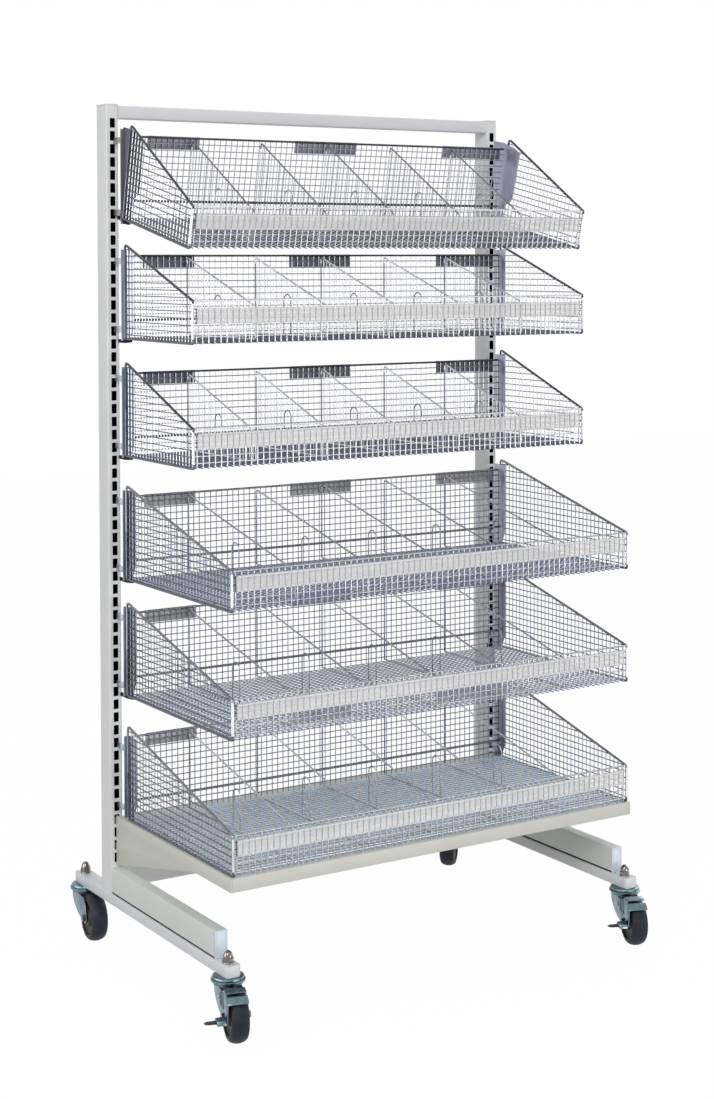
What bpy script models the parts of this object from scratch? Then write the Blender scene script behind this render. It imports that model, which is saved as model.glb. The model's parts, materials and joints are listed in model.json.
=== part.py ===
"""Mobile basket storage unit: two slotted uprights on a caster base, six wire baskets on hooked brackets.

Metres, +Z up. The front is -Y, the floor is Z = 0, and the origin is the centre of the footprint.
While it is being built, Y = 0 is the uprights' front face and X = 0 lies midway between the uprights.
"""
import math

import bmesh
import bpy
from mathutils import Matrix, Vector

# Gap between pieces that touch
CLEARANCE = 0.0003

# Uprights and beams
UPRIGHT_WIDTH = 0.025
UPRIGHT_DEPTH = 0.045
TUBE_WALL = 0.0015
SLOT_PITCH = 0.025
SLOT_WIDTH = 0.008
SLOT_HEIGHT = 0.018
SLOT_ABOVE_LEG = 0.010
SLOT_BELOW_TOP = 0.0245
BEAM_HEIGHT = 0.025
BEAM_DEPTH = 0.025
CAP_THICKNESS = 0.003
CAP_PLUG = 0.012

# Legs and caster bars
LEG_HEIGHT = 0.050
LEG_REACH = 0.424
BAR_WIDTH = 0.030
BAR_HEIGHT = 0.020
BAR_WALL = 0.0025
BAR_OVERHANG = 0.022
BAR_END_RADIUS = 0.007
BAR_END_STEPS = 3
STEM_AHEAD = 0.451
STEM_BEHIND = 0.148

# Casters
WHEEL_RADIUS = 0.046
WHEEL_WIDTH = 0.030
WHEEL_BOSS = 0.0315
TYRE_SHOULDER = 0.005
HUB_RADIUS = 0.0153
WHEEL_STEPS = 16
TRAIL = 0.055
AXLE_RADIUS = 0.004
AXLE_FIT = 0.0004
AXLE_HEAD_RADIUS = 0.0075
AXLE_HEAD_LENGTH = 0.0055
FORK_GAP = 0.036
FORK_SHEET = 0.0025
FORK_BOSS_RADIUS = 0.0104
FORK_BOSS_START = math.radians(-40)
FORK_BOSS_STOP = math.radians(-190)
FORK_BOSS_STEPS = 3
FORK_SHOULDER = 0.0178
FORK_NOSE = 0.044
CROWN_RADIUS = 0.027
CROWN_THICKNESS = 0.004
RACE_RADIUS = 0.029
RACE_HEIGHT = 0.0105
RACE_CHAMFER = 0.0026
KINGPIN_RADIUS = 0.006
KINGPIN_HEAD_RADIUS = 0.009
KINGPIN_HEAD_HEIGHT = 0.004
CROWN_ABOVE_WHEEL = -0.0079
NUT_RADIUS = 0.0105
NUT_HEIGHT = 0.022
SWIVEL_FIT = 0.0005
TURN_STEPS = 9
CROWN_STEPS = 12
HEADING_FRONT_LEFT = math.radians(15)
HEADING_FRONT_RIGHT = math.radians(21)
HEADING_REAR_LEFT = math.radians(7)
HEADING_REAR_RIGHT = math.radians(43)

# Brake levers of the front casters
BRAKE_SHEET = 0.002
BRAKE_NECK = 0.007
BRAKE_PIN_RADIUS = 0.0025
BRAKE_PIVOT_AHEAD = 0.027
BRAKE_PIVOT_RISE = 0.026
SHOE_GAP = 0.0045
SHOE_LENGTH = 0.028
SHOE_RISE = math.radians(60)
PEDAL_REACH = 0.038
PEDAL_BEHIND = 0.014
PEDAL_WIDTH = 0.020

# Baskets
BASKET_WIDTH = 0.894
BASKET_SIDE_GAP = 0.0015
SHALLOW_DEPTH = 0.284
DEEP_DEPTH = 0.426
BASKET_GAP = 0.038
SIDE_HEIGHT = 0.185
BACK_HEIGHT = 0.163
FRONT_HEIGHT = 0.076
SIDE_CORNER = 0.012
WIRE = 0.004
STIFFENER_RISE = 0.038
MESH_PITCH = 0.140
DIVIDERS = 5
DIVIDER_PITCH = 0.152
DIVIDER_SHIFT = -0.009
DIVIDER_WIRE = 0.003
DIVIDER_BELOW_RAIL = 0.010
DIVIDER_BELOW_FRONT = 0.014
LOOP_PLACE = 0.46
LOOP_WIDTH = 0.027
STRIP_HEIGHT = 0.028
STRIP_LIP = 0.0035
STRIP_SHEET = 0.0012
STRIP_BELOW_TOP = 0.010
STRIP_INSET = 0.011

# Slots that carry the baskets, counted upwards from the lowest one, and each seat's height over its slot
SHELF_SLOT = 1
LOWEST_DEEP_SLOT = 13
DEEP_STEP = 9
LOWEST_SHALLOW_SLOT = 32
SHALLOW_STEP = 9
TILT_STEPS_UP = 9
SLOTS_OVER_TILT = 7
SHALLOW_SEAT = -0.0071
DEEP_SEAT = 0.0059
TILT_SEAT = 0.0033

# Brackets
BRACKET_SHEET = 0.003
BRACKET_DEPTH = 0.044
BRACKET_HEIGHT = 0.172
FOOT_REACH = 0.060
FOOT_BACK = 0.011
FOOT_WIDTH = 0.018
FOOT_SHEET = 0.0025
HOOK_HEIGHT = 0.011
HOOK_DROP = 0.004
HOOK_SHEET = 0.003
HOOK_SPAN = 5
REST_BRACKET_SLOT = 4
REST_BRACKET_HEIGHT = 0.160

# Tilting top basket
TILT = math.radians(12)
TILT_POSITIONS = 3
PIN_LAG = math.radians(6.5)
PIVOT_AHEAD = 0.039
PIVOT_RADIUS = 0.003
FAN_RADIUS = 0.176
FAN_TIP_DROP = 0.020
FAN_FOOT = 0.014
FAN_NECK = 0.018
FAN_EDGE = math.radians(9)
FAN_BELLY = 0.047
FAN_BELLY_RISE = 0.056
FAN_CORNER = 0.022
FAN_CORNER_STEPS = 3
NOTCH_WIDTH = 0.004
NOTCH_DEPTH = 0.012

# Base shelf
SHELF_RISE = 0.066
SHELF_DEPTH = 0.466
SHELF_LIP = 0.0245
SHELF_BACK_GAP = 0.006
SHELF_SHEET = 0.0015
SHELF_BRACKET_HEIGHT = 0.097
SHELF_TAPER = 0.326
SHELF_HOOK_SPAN = 2

# Heights and places that follow
CROWN_TOP = 2 * WHEEL_RADIUS + CROWN_ABOVE_WHEEL + CROWN_THICKNESS
RACE_BOTTOM = CROWN_TOP + SWIVEL_FIT
RACE_TOP = RACE_BOTTOM + RACE_HEIGHT
BAR_BOTTOM = RACE_TOP + CLEARANCE
BAR_TOP = BAR_BOTTOM + BAR_HEIGHT
LEG_BOTTOM = BAR_TOP + CLEARANCE
LEG_TOP = LEG_BOTTOM + LEG_HEIGHT
TILT_SLOT = LOWEST_SHALLOW_SLOT + SHALLOW_STEP + TILT_STEPS_UP
SLOT_COUNT = TILT_SLOT + SLOTS_OVER_TILT + 1
UPRIGHT_SPACING = BASKET_WIDTH + 2 * BASKET_SIDE_GAP + BRACKET_SHEET
UPRIGHT_X = UPRIGHT_SPACING / 2
WIRE_INSET = WIRE / 2
CAGE_WIDTH = BASKET_WIDTH - WIRE
CORNER_DROP = WIRE_INSET / math.sqrt(3)
PIVOT_INSET = WIRE_INSET + PIVOT_RADIUS + 2 * CLEARANCE
FORK_OUTSIDE = FORK_GAP / 2 + FORK_SHEET

# Limits of the mesh work: flat enough to merge, near enough to weld, and square enough to face an axis
FLAT = math.radians(0.5)
WELD = 0.000002
FACING = 0.9

UNIT = bpy.data.collections.new("mobile_basket_unit")


def slot_bottom(index):
    """Height of a slot's lower edge, the lowest slot being 0."""
    return LEG_TOP + SLOT_ABOVE_LEG + index * SLOT_PITCH


UPRIGHT_TOP = slot_bottom(SLOT_COUNT - 1) + SLOT_HEIGHT + SLOT_BELOW_TOP
SHELF_TOP = slot_bottom(SHELF_SLOT) + SHELF_RISE


# Scene, materials and objects

def clear_scene():
    for item in list(bpy.data.objects):
        bpy.data.objects.remove(item, do_unlink=True)
    bpy.context.scene.collection.children.link(UNIT)


def material(name, colour, roughness, metallic):
    made = bpy.data.materials.new(name)
    made.use_nodes = True
    shader = made.node_tree.nodes["Principled BSDF"]
    shader.inputs["Base Color"].default_value = (*colour, 1.0)
    shader.inputs["Roughness"].default_value = roughness
    shader.inputs["Metallic"].default_value = metallic
    return made


def place(name, mesh, finish, parent, location=(0, 0, 0), turn=(0, 0, 0)):
    """One sub-part: an object of the unit's collection, placed under its parent."""
    part = bpy.data.objects.new(name, mesh)
    part.parent = parent
    part.location = location
    part.rotation_euler = turn
    if not mesh.materials:
        mesh.materials.append(finish)
    UNIT.objects.link(part)
    return part


def pivot(name, parent, location, turn=(0, 0, 0)):
    """An empty on a joint's axis."""
    empty = bpy.data.objects.new(name, None)
    empty.parent = parent
    empty.location = location
    empty.rotation_euler = turn
    UNIT.objects.link(empty)
    return empty


# Meshes

def tidy(bm, name):
    """Welds, turns every face outwards and hands back a mesh."""
    bmesh.ops.remove_doubles(bm, verts=bm.verts[:], dist=WELD)
    bmesh.ops.dissolve_degenerate(bm, edges=bm.edges[:], dist=WELD)
    bmesh.ops.recalc_face_normals(bm, faces=bm.faces[:])
    mesh = bpy.data.meshes.new(name)
    bm.to_mesh(mesh)
    bm.free()
    return mesh


def evaluated(data, name, modify=None):
    """Mesh of a curve or mesh after its modifiers, with its caps welded."""
    holder = bpy.data.objects.new(name, data)
    bpy.context.scene.collection.objects.link(holder)
    if modify:
        modify(holder)
    state = bpy.context.evaluated_depsgraph_get()
    made = bpy.data.meshes.new_from_object(holder.evaluated_get(state))
    bpy.data.objects.remove(holder, do_unlink=True)
    bm = bmesh.new()
    bm.from_mesh(made)
    bpy.data.meshes.remove(made)
    return tidy(bm, name)


def moved(mesh, matrix):
    """A copy of a mesh under a matrix; a mirroring matrix keeps its faces outwards."""
    bm = bmesh.new()
    bm.from_mesh(mesh)
    bmesh.ops.transform(bm, matrix=matrix, verts=bm.verts[:])
    return tidy(bm, mesh.name)


def mirrored(mesh):
    return moved(mesh, Matrix.Scale(-1, 4, Vector((1, 0, 0))))


def smooth(mesh, angle=math.radians(40)):
    mesh.shade_smooth()
    mesh.set_sharp_from_angle(angle=angle)
    return mesh


def block(name, low, high):
    """A box between two corners."""
    low = Vector(low)
    high = Vector(high)
    bm = bmesh.new()
    bmesh.ops.create_cube(bm, size=1.0, matrix=Matrix.LocRotScale((low + high) / 2, None, high - low))
    return tidy(bm, name)


def combine(mesh, other, operation):
    """A Boolean of two meshes."""
    tool = bpy.data.objects.new("tool", other)
    bpy.context.scene.collection.objects.link(tool)

    def modify(holder):
        boolean = holder.modifiers.new("boolean", "BOOLEAN")
        boolean.operation = operation
        boolean.object = tool

    made = evaluated(mesh, mesh.name, modify)
    bpy.data.objects.remove(tool, do_unlink=True)
    return made


def flattened(mesh):
    """Merges the flat faces that Booleans have split."""
    bm = bmesh.new()
    bm.from_mesh(mesh)
    bmesh.ops.dissolve_limit(bm, angle_limit=FLAT, verts=bm.verts[:], edges=bm.edges[:])
    return tidy(bm, mesh.name)


def cut(mesh, other):
    return combine(mesh, other, "DIFFERENCE")


def join(mesh, other):
    return combine(mesh, other, "UNION")


def plate(name, outline, thickness, holes=()):
    """A flat outline of (y, z) points, centred on X = 0, with a thickness along X."""
    curve = bpy.data.curves.new(name, "CURVE")
    curve.dimensions = "2D"
    curve.fill_mode = "BOTH"
    curve.extrude = thickness / 2
    for loop in (outline, *holes):
        spline = curve.splines.new("POLY")
        spline.points.add(len(loop) - 1)
        spline.use_cyclic_u = True
        for point, (y, z) in zip(spline.points, loop):
            point.co = (y, z, 0, 1)
    stand_up = Matrix(((0, 0, 1, 0), (1, 0, 0, 0), (0, 1, 0, 0), (0, 0, 0, 1)))
    return moved(evaluated(curve, name), stand_up)


def arc(centre, radius, start, stop, steps):
    """Points of an arc in the (y, z) plane, both ends included."""
    angles = [start + (stop - start) * i / steps for i in range(steps + 1)]
    return [(centre[0] + radius * math.cos(angle), centre[1] + radius * math.sin(angle)) for angle in angles]


def circle(centre, radius, steps):
    return arc(centre, radius, 0, math.tau, steps)[:-1]


def turned(name, profile, steps, closed=False):
    """A profile of (radius, height) points turned about Z."""
    mesh = bpy.data.meshes.new(name)
    edges = [(i, i + 1) for i in range(len(profile) - 1)]
    if closed:
        edges.append((len(profile) - 1, 0))
    mesh.from_pydata([(radius, 0, height) for radius, height in profile], edges, [])

    def modify(holder):
        screw = holder.modifiers.new("screw", "SCREW")
        screw.steps = steps
        screw.render_steps = steps
        screw.use_merge_vertices = True
        screw.merge_threshold = WELD

    return smooth(evaluated(mesh, name, modify))


def lying(mesh):
    """A shape turned about Z, laid along X."""
    return moved(mesh, Matrix.Rotation(math.radians(90), 4, "Y"))


# Frame

def tube(name, low, high, axis):
    """A rectangular tube along one axis, open at both ends."""
    inner_low = [value + TUBE_WALL for value in low]
    inner_high = [value - TUBE_WALL for value in high]
    inner_low[axis] = low[axis] - TUBE_WALL
    inner_high[axis] = high[axis] + TUBE_WALL
    return cut(block(name, low, high), block("bore", inner_low, inner_high))


def slotted_upright():
    half = UPRIGHT_WIDTH / 2
    mesh = tube("upright", (-half, 0, LEG_BOTTOM), (half, UPRIGHT_DEPTH, UPRIGHT_TOP), 2)
    bm = bmesh.new()
    for index in range(SLOT_COUNT):
        centre = Vector((0, 0, slot_bottom(index) + SLOT_HEIGHT / 2))
        size = Vector((SLOT_WIDTH, 4 * TUBE_WALL, SLOT_HEIGHT))
        bmesh.ops.create_cube(bm, size=1.0, matrix=Matrix.LocRotScale(centre, None, size))
    return flattened(cut(mesh, tidy(bm, "slots")))


def end_cap(width, height):
    """A cap on the end of a tube along Z, with a plug inside the tube; Z = 0 is the tube's end."""
    half_width = width / 2
    half_height = height / 2
    inset = TUBE_WALL + CLEARANCE
    head = block("cap", (-half_width, -half_height, CLEARANCE), (half_width, half_height, CAP_THICKNESS))
    plug_low = (inset - half_width, inset - half_height, -CAP_PLUG)
    plug_high = (half_width - inset, half_height - inset, CAP_THICKNESS / 2)
    return join(head, block("plug", plug_low, plug_high))


def caster_bar():
    """A channel, open below, with round corners and a hole for each stem."""
    half = BAR_WIDTH / 2
    back = STEM_BEHIND + BAR_OVERHANG
    front = -STEM_AHEAD - BAR_OVERHANG
    bm = bmesh.new()
    centre = Vector((0, (back + front) / 2, (BAR_BOTTOM + BAR_TOP) / 2))
    size = Vector((BAR_WIDTH, back - front, BAR_HEIGHT))
    bmesh.ops.create_cube(bm, size=1.0, matrix=Matrix.LocRotScale(centre, None, size))
    corners = [edge for edge in bm.edges if abs(edge.verts[0].co.z - edge.verts[1].co.z) > BAR_HEIGHT / 2]
    bmesh.ops.bevel(bm, geom=corners, offset=BAR_END_RADIUS, segments=BAR_END_STEPS, profile=0.5,
                    affect="EDGES")
    mesh = tidy(bm, "caster_bar")
    inside = half - BAR_WALL
    low = (-inside, front + BAR_END_RADIUS, BAR_BOTTOM - BAR_WALL)
    high = (inside, back - BAR_END_RADIUS, BAR_TOP - BAR_WALL)
    mesh = cut(mesh, block("hollow", low, high))
    for y in (STEM_BEHIND, -STEM_AHEAD):
        drill = turned("drill", [(0, BAR_TOP + BAR_WALL), (KINGPIN_RADIUS + SWIVEL_FIT, BAR_TOP + BAR_WALL),
                                 (KINGPIN_RADIUS + SWIVEL_FIT, BAR_BOTTOM), (0, BAR_BOTTOM)], TURN_STEPS)
        mesh = cut(mesh, moved(drill, Matrix.Translation((0, y, 0))))
    return mesh


def build_frame(root, ivory, bar_white, cap_plastic):
    upright = slotted_upright()
    upright_cap = end_cap(UPRIGHT_WIDTH, UPRIGHT_DEPTH)
    half = UPRIGHT_WIDTH / 2
    leg = tube("leg", (-half, -LEG_REACH, LEG_BOTTOM), (half, -CLEARANCE, LEG_TOP), 1)
    leg_cap = moved(end_cap(UPRIGHT_WIDTH, LEG_HEIGHT), Matrix.Rotation(math.radians(90), 4, "X"))
    bar = caster_bar()
    for side, x in (("left", -UPRIGHT_X), ("right", UPRIGHT_X)):
        place(side + "_upright", upright, ivory, root, (x, 0, 0))
        place(side + "_upright_cap", upright_cap, ivory, root, (x, UPRIGHT_DEPTH / 2, UPRIGHT_TOP))
        place(side + "_leg", leg, ivory, root, (x, 0, 0))
        place(side + "_leg_end_cap", leg_cap, cap_plastic, root, (x, -LEG_REACH, LEG_BOTTOM + LEG_HEIGHT / 2))
        place(side + "_caster_bar", bar, bar_white, root, (x, 0, 0))
    reach = UPRIGHT_X - half - CLEARANCE
    low = (-reach, 0, UPRIGHT_TOP - BEAM_HEIGHT)
    place("top_beam", tube("top_beam", low, (reach, BEAM_DEPTH, UPRIGHT_TOP), 0), ivory, root)
    low = (-reach, UPRIGHT_DEPTH - BEAM_DEPTH, LEG_BOTTOM)
    place("rear_cross_beam", tube("rear_cross_beam", low, (reach, UPRIGHT_DEPTH, LEG_TOP), 0), ivory, root)


# Brackets

def hook(index):
    """Outline points of a hook in a slot, from its root below to its root above."""
    seat = slot_bottom(index) + CLEARANCE
    inside = TUBE_WALL + CLEARANCE
    tip = inside + HOOK_SHEET
    return [(-CLEARANCE, seat), (inside, seat), (inside, seat - HOOK_DROP), (tip, seat - HOOK_DROP),
            (tip, seat + HOOK_HEIGHT), (-CLEARANCE, seat + HOOK_HEIGHT)]


def level_bracket(index, seat):
    """A sheet bracket outside a level basket's right end, with a foot turned in under the basket."""
    bottom = slot_bottom(index) + seat + WIRE_INSET - CORNER_DROP - CLEARANCE
    low_hook = index + 1
    outline = [(-BRACKET_DEPTH, bottom - FOOT_SHEET), (-CLEARANCE, bottom - FOOT_SHEET)]
    outline += hook(low_hook) + hook(low_hook + HOOK_SPAN)
    outline += [(-CLEARANCE, bottom + BRACKET_HEIGHT), (-BRACKET_DEPTH, bottom + BRACKET_HEIGHT)]
    mesh = plate("level_bracket", outline, BRACKET_SHEET)
    low = (-FOOT_WIDTH - BRACKET_SHEET / 2, -FOOT_REACH, bottom - FOOT_SHEET)
    high = (0, -FOOT_BACK, bottom)
    return flattened(join(mesh, block("foot", low, high)))


def rest_bracket():
    """The plain bracket beside the lowest basket, which stands on the shelf."""
    bottom = SHELF_TOP + 2 * CLEARANCE
    outline = [(-BRACKET_DEPTH, bottom), (-CLEARANCE, bottom)]
    outline += hook(REST_BRACKET_SLOT) + hook(REST_BRACKET_SLOT + HOOK_SPAN)
    outline += [(-CLEARANCE, bottom + REST_BRACKET_HEIGHT), (-BRACKET_DEPTH, bottom + REST_BRACKET_HEIGHT)]
    return plate("rest_bracket", outline, BRACKET_SHEET)


def tilt_pivot_height():
    return slot_bottom(TILT_SLOT) + TILT_SEAT


def on_fan(radius, angle):
    """A point of the fan at an angle from upright, leaning forwards."""
    return (-PIVOT_AHEAD - radius * math.sin(angle), tilt_pivot_height() + radius * math.cos(angle))


def fan_rim(angle, start, last):
    """A point of the fan's rim, which comes nearer the pivot towards its front tip."""
    return FAN_RADIUS - FAN_TIP_DROP * (angle - start) / (last - start)


def fan_bracket():
    """The bracket of the tilting basket's right end: notches on a rim about the pivot, and a pivot pin."""
    height = tilt_pivot_height()
    outline = [(-PIVOT_AHEAD - FAN_FOOT, height - FAN_FOOT), (-CLEARANCE, height - FAN_FOOT)]
    outline += hook(TILT_SLOT) + hook(TILT_SLOT + HOOK_SPAN)
    start = -math.asin((PIVOT_AHEAD - CLEARANCE) / FAN_RADIUS)
    last = (TILT_POSITIONS - 1) * TILT - PIN_LAG + FAN_EDGE
    outline.append(on_fan(FAN_RADIUS, start))
    half_notch = NOTCH_WIDTH / 2 / FAN_RADIUS
    for position in range(TILT_POSITIONS):
        angle = position * TILT - PIN_LAG
        rim = fan_rim(angle, start, last)
        before = angle - half_notch
        after = angle + half_notch
        outline += [on_fan(rim, before), on_fan(rim - NOTCH_DEPTH, before)]
        outline += [on_fan(rim - NOTCH_DEPTH, after), on_fan(rim, after)]
    outline.append(on_fan(fan_rim(last, start, last), last))
    corner = (-PIVOT_AHEAD - FAN_BELLY + FAN_CORNER, height + FAN_BELLY_RISE)
    outline += arc(corner, FAN_CORNER, math.radians(180), math.radians(270), FAN_CORNER_STEPS)
    outline.append((-PIVOT_AHEAD - FAN_FOOT, height + FAN_NECK))
    mesh = plate("fan_bracket", outline, BRACKET_SHEET)
    profile = [(0, FOOT_WIDTH), (PIVOT_RADIUS, FOOT_WIDTH), (PIVOT_RADIUS, 0), (0, 0)]
    pin = lying(turned("pin", profile, TURN_STEPS))
    return flattened(join(mesh, moved(pin, Matrix.Translation((-FOOT_WIDTH, -PIVOT_AHEAD, height)))))


def shelf_bracket():
    """The tapered bracket along the shelf's right end."""
    low_edge = SHELF_TOP - SHELF_LIP
    heel = SHELF_TOP - SHELF_BRACKET_HEIGHT
    outline = [(-SHELF_DEPTH, low_edge), (-SHELF_TAPER, low_edge), (-CLEARANCE, heel)]
    outline += hook(SHELF_SLOT) + hook(SHELF_SLOT + SHELF_HOOK_SPAN)
    outline += [(-CLEARANCE, SHELF_TOP), (-SHELF_DEPTH, SHELF_TOP)]
    return plate("shelf_bracket", outline, BRACKET_SHEET)


def build_shelf(root, ivory):
    half = UPRIGHT_X - BRACKET_SHEET / 2 - CLEARANCE
    low = (-half, -SHELF_DEPTH, SHELF_TOP - SHELF_LIP)
    tray = block("base_shelf", low, (half, -SHELF_BACK_GAP, SHELF_TOP))
    low = (SHELF_SHEET - half, SHELF_SHEET - SHELF_DEPTH, SHELF_TOP - 2 * SHELF_LIP)
    high = (half - SHELF_SHEET, -SHELF_BACK_GAP - SHELF_SHEET, SHELF_TOP - SHELF_SHEET)
    place("base_shelf", cut(tray, block("hollow", low, high)), ivory, root)
    bracket = shelf_bracket()
    place("right_shelf_bracket", bracket, ivory, root, (UPRIGHT_X, 0, 0))
    place("left_shelf_bracket", mirrored(bracket), ivory, root, (-UPRIGHT_X, 0, 0))


# Baskets

def divider_places():
    first = DIVIDER_SHIFT - DIVIDER_PITCH * (DIVIDERS - 1) / 2
    return [first + DIVIDER_PITCH * i for i in range(DIVIDERS)]


def divider(length, back, front):
    """A wire divider: a sloped top wire from back to front, on a loop that stands on the floor."""

    def top(y):
        return (y, back + (front - back) * -y / length)

    def under(y):
        return (y, top(y)[1] - DIVIDER_WIRE)

    near = LOOP_WIDTH / 2 - LOOP_PLACE * length
    far = near - LOOP_WIDTH
    outline = [top(0), top(-length), under(-length)]
    for start in (far, near - DIVIDER_WIRE):
        stop = start + DIVIDER_WIRE
        outline += [under(start), (start, 0), (stop, 0), under(stop)]
    outline.append(under(0))
    return plate("divider", outline, DIVIDER_WIRE)


def basket(depth):
    """A welded wire basket with sloped sides; its origin is the middle of the lower back wire."""
    length = depth - WIRE
    side = SIDE_HEIGHT - WIRE
    back = BACK_HEIGHT - WIRE
    front = FRONT_HEIGHT - WIRE
    bm = bmesh.new()
    centre = Vector((0, -length / 2, side / 2))
    size = Vector((CAGE_WIDTH, length, side))
    bmesh.ops.create_cube(bm, size=1.0, matrix=Matrix.LocRotScale(centre, None, size))
    lid = [face for face in bm.faces if face.normal.z > FACING]
    bmesh.ops.delete(bm, geom=lid, context="FACES")

    def split(point, normal, clear=False, faces=None):
        cells = faces or bm.faces[:]
        parts = cells + list({edge for face in cells for edge in face.edges})
        parts += list({vert for face in cells for vert in face.verts})
        bmesh.ops.bisect_plane(bm, geom=parts, plane_co=point, plane_no=normal, clear_outer=clear, dist=WELD)

    split((0, 0, back), (0, 0, 1))
    rear = [face for face in bm.faces if face.normal.y > FACING]
    high = [face for face in rear if face.calc_center_median().z > back]
    bmesh.ops.delete(bm, geom=high, context="FACES")
    split((0, -length, front), (0, front - side, length - SIDE_CORNER), True)
    split((0, -SIDE_CORNER, side), (0, 1, 1), True)
    for x in divider_places():
        split((x, 0, 0), (1, 0, 0))
    loop = LOOP_PLACE * length
    rows = round((length - loop) / MESH_PITCH)
    for i in range(rows):
        split((0, -loop - (length - loop) * i / rows, 0), (0, 1, 0))
    rear = [face for face in bm.faces if face.normal.y > FACING]
    split((0, 0, STIFFENER_RISE), (0, 0, 1), faces=rear)
    mesh = tidy(bm, "basket")

    def modify(holder):
        wire = holder.modifiers.new("wire", "WIREFRAME")
        wire.thickness = WIRE
        wire.offset = 0
        wire.use_boundary = True
        wire.use_even_offset = True

    mesh = evaluated(mesh, "basket", modify)
    panel = divider(length, back - DIVIDER_BELOW_RAIL, front - DIVIDER_BELOW_FRONT)
    for x in divider_places():
        mesh = join(mesh, moved(panel, Matrix.Translation((x, 0, 0))))
    return flattened(mesh)


def price_strip(depth):
    """A ticket rail in front of a basket, in the basket's own frame."""
    back = WIRE_INSET - depth - CLEARANCE
    top = FRONT_HEIGHT - WIRE_INSET - STRIP_BELOW_TOP
    bottom = top - STRIP_HEIGHT
    face = back - STRIP_SHEET
    lip = back - STRIP_LIP
    outline = [(back, bottom), (back, top), (lip, top), (lip, top - STRIP_LIP), (face, top - STRIP_LIP / 2),
               (face, bottom + STRIP_LIP / 2), (lip, bottom + STRIP_LIP), (lip, bottom)]
    return plate("price_strip", outline, BASKET_WIDTH - 2 * STRIP_INSET)


def build_baskets(root, zinc, sheet, clear_plastic):
    shallow = basket(SHALLOW_DEPTH)
    deep = basket(DEEP_DEPTH)
    shallow_strip = price_strip(SHALLOW_DEPTH)
    deep_strip = price_strip(DEEP_DEPTH)

    def pair(number, bracket):
        place("basket_%d_right_bracket" % number, bracket, sheet, root, (UPRIGHT_X, 0, 0))
        place("basket_%d_left_bracket" % number, mirrored(bracket), sheet, root, (-UPRIGHT_X, 0, 0))

    tilt = pivot("basket_tilt", root, (0, -PIVOT_AHEAD, tilt_pivot_height()), (TILT, 0, 0))
    corner = (0, PIVOT_INSET, -PIVOT_INSET)
    place("basket_1", shallow, zinc, tilt, corner)
    place("price_strip_1", shallow_strip, clear_plastic, tilt, corner)
    pair(1, fan_bracket())
    level = (
        (2, shallow, shallow_strip, LOWEST_SHALLOW_SLOT + SHALLOW_STEP, SHALLOW_SEAT),
        (3, shallow, shallow_strip, LOWEST_SHALLOW_SLOT, SHALLOW_SEAT),
        (4, deep, deep_strip, LOWEST_DEEP_SLOT + DEEP_STEP, DEEP_SEAT),
        (5, deep, deep_strip, LOWEST_DEEP_SLOT, DEEP_SEAT),
    )
    for number, mesh, strip, index, seat in level:
        corner = (0, -BASKET_GAP - WIRE_INSET, slot_bottom(index) + seat + WIRE_INSET)
        place("basket_%d" % number, mesh, zinc, root, corner)
        place("price_strip_%d" % number, strip, clear_plastic, root, corner)
        pair(number, level_bracket(index, seat))
    corner = (0, -BASKET_GAP - WIRE_INSET, SHELF_TOP + CLEARANCE + WIRE_INSET)
    place("basket_6", deep, zinc, root, corner)
    place("price_strip_6", deep_strip, clear_plastic, root, corner)
    pair(6, rest_bracket())


# Casters: built about the stem's axis, the wheel trailing towards -Y

def kingpin():
    """Stud with its race cap under the bar, acorn nut on top and a head below the fork's crown."""
    nut_bottom = BAR_TOP + CLEARANCE
    nut_top = nut_bottom + NUT_HEIGHT
    head_top = CROWN_TOP - CROWN_THICKNESS - CLEARANCE
    head_bottom = head_top - KINGPIN_HEAD_HEIGHT
    dome = arc((0, nut_top - NUT_RADIUS), NUT_RADIUS, math.radians(90), 0, 2)
    nut = [(NUT_RADIUS, nut_bottom), (KINGPIN_RADIUS, nut_bottom)]
    race = [(KINGPIN_RADIUS, RACE_TOP), (RACE_RADIUS, RACE_TOP), (RACE_RADIUS, (RACE_TOP + RACE_BOTTOM) / 2),
            (RACE_RADIUS - RACE_CHAMFER, RACE_BOTTOM), (KINGPIN_RADIUS, RACE_BOTTOM)]
    head = [(KINGPIN_RADIUS, head_top), (KINGPIN_HEAD_RADIUS, head_top), (KINGPIN_HEAD_RADIUS, head_bottom),
            (0, head_bottom)]
    return turned("kingpin", dome + nut + race + head, TURN_STEPS)


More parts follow.
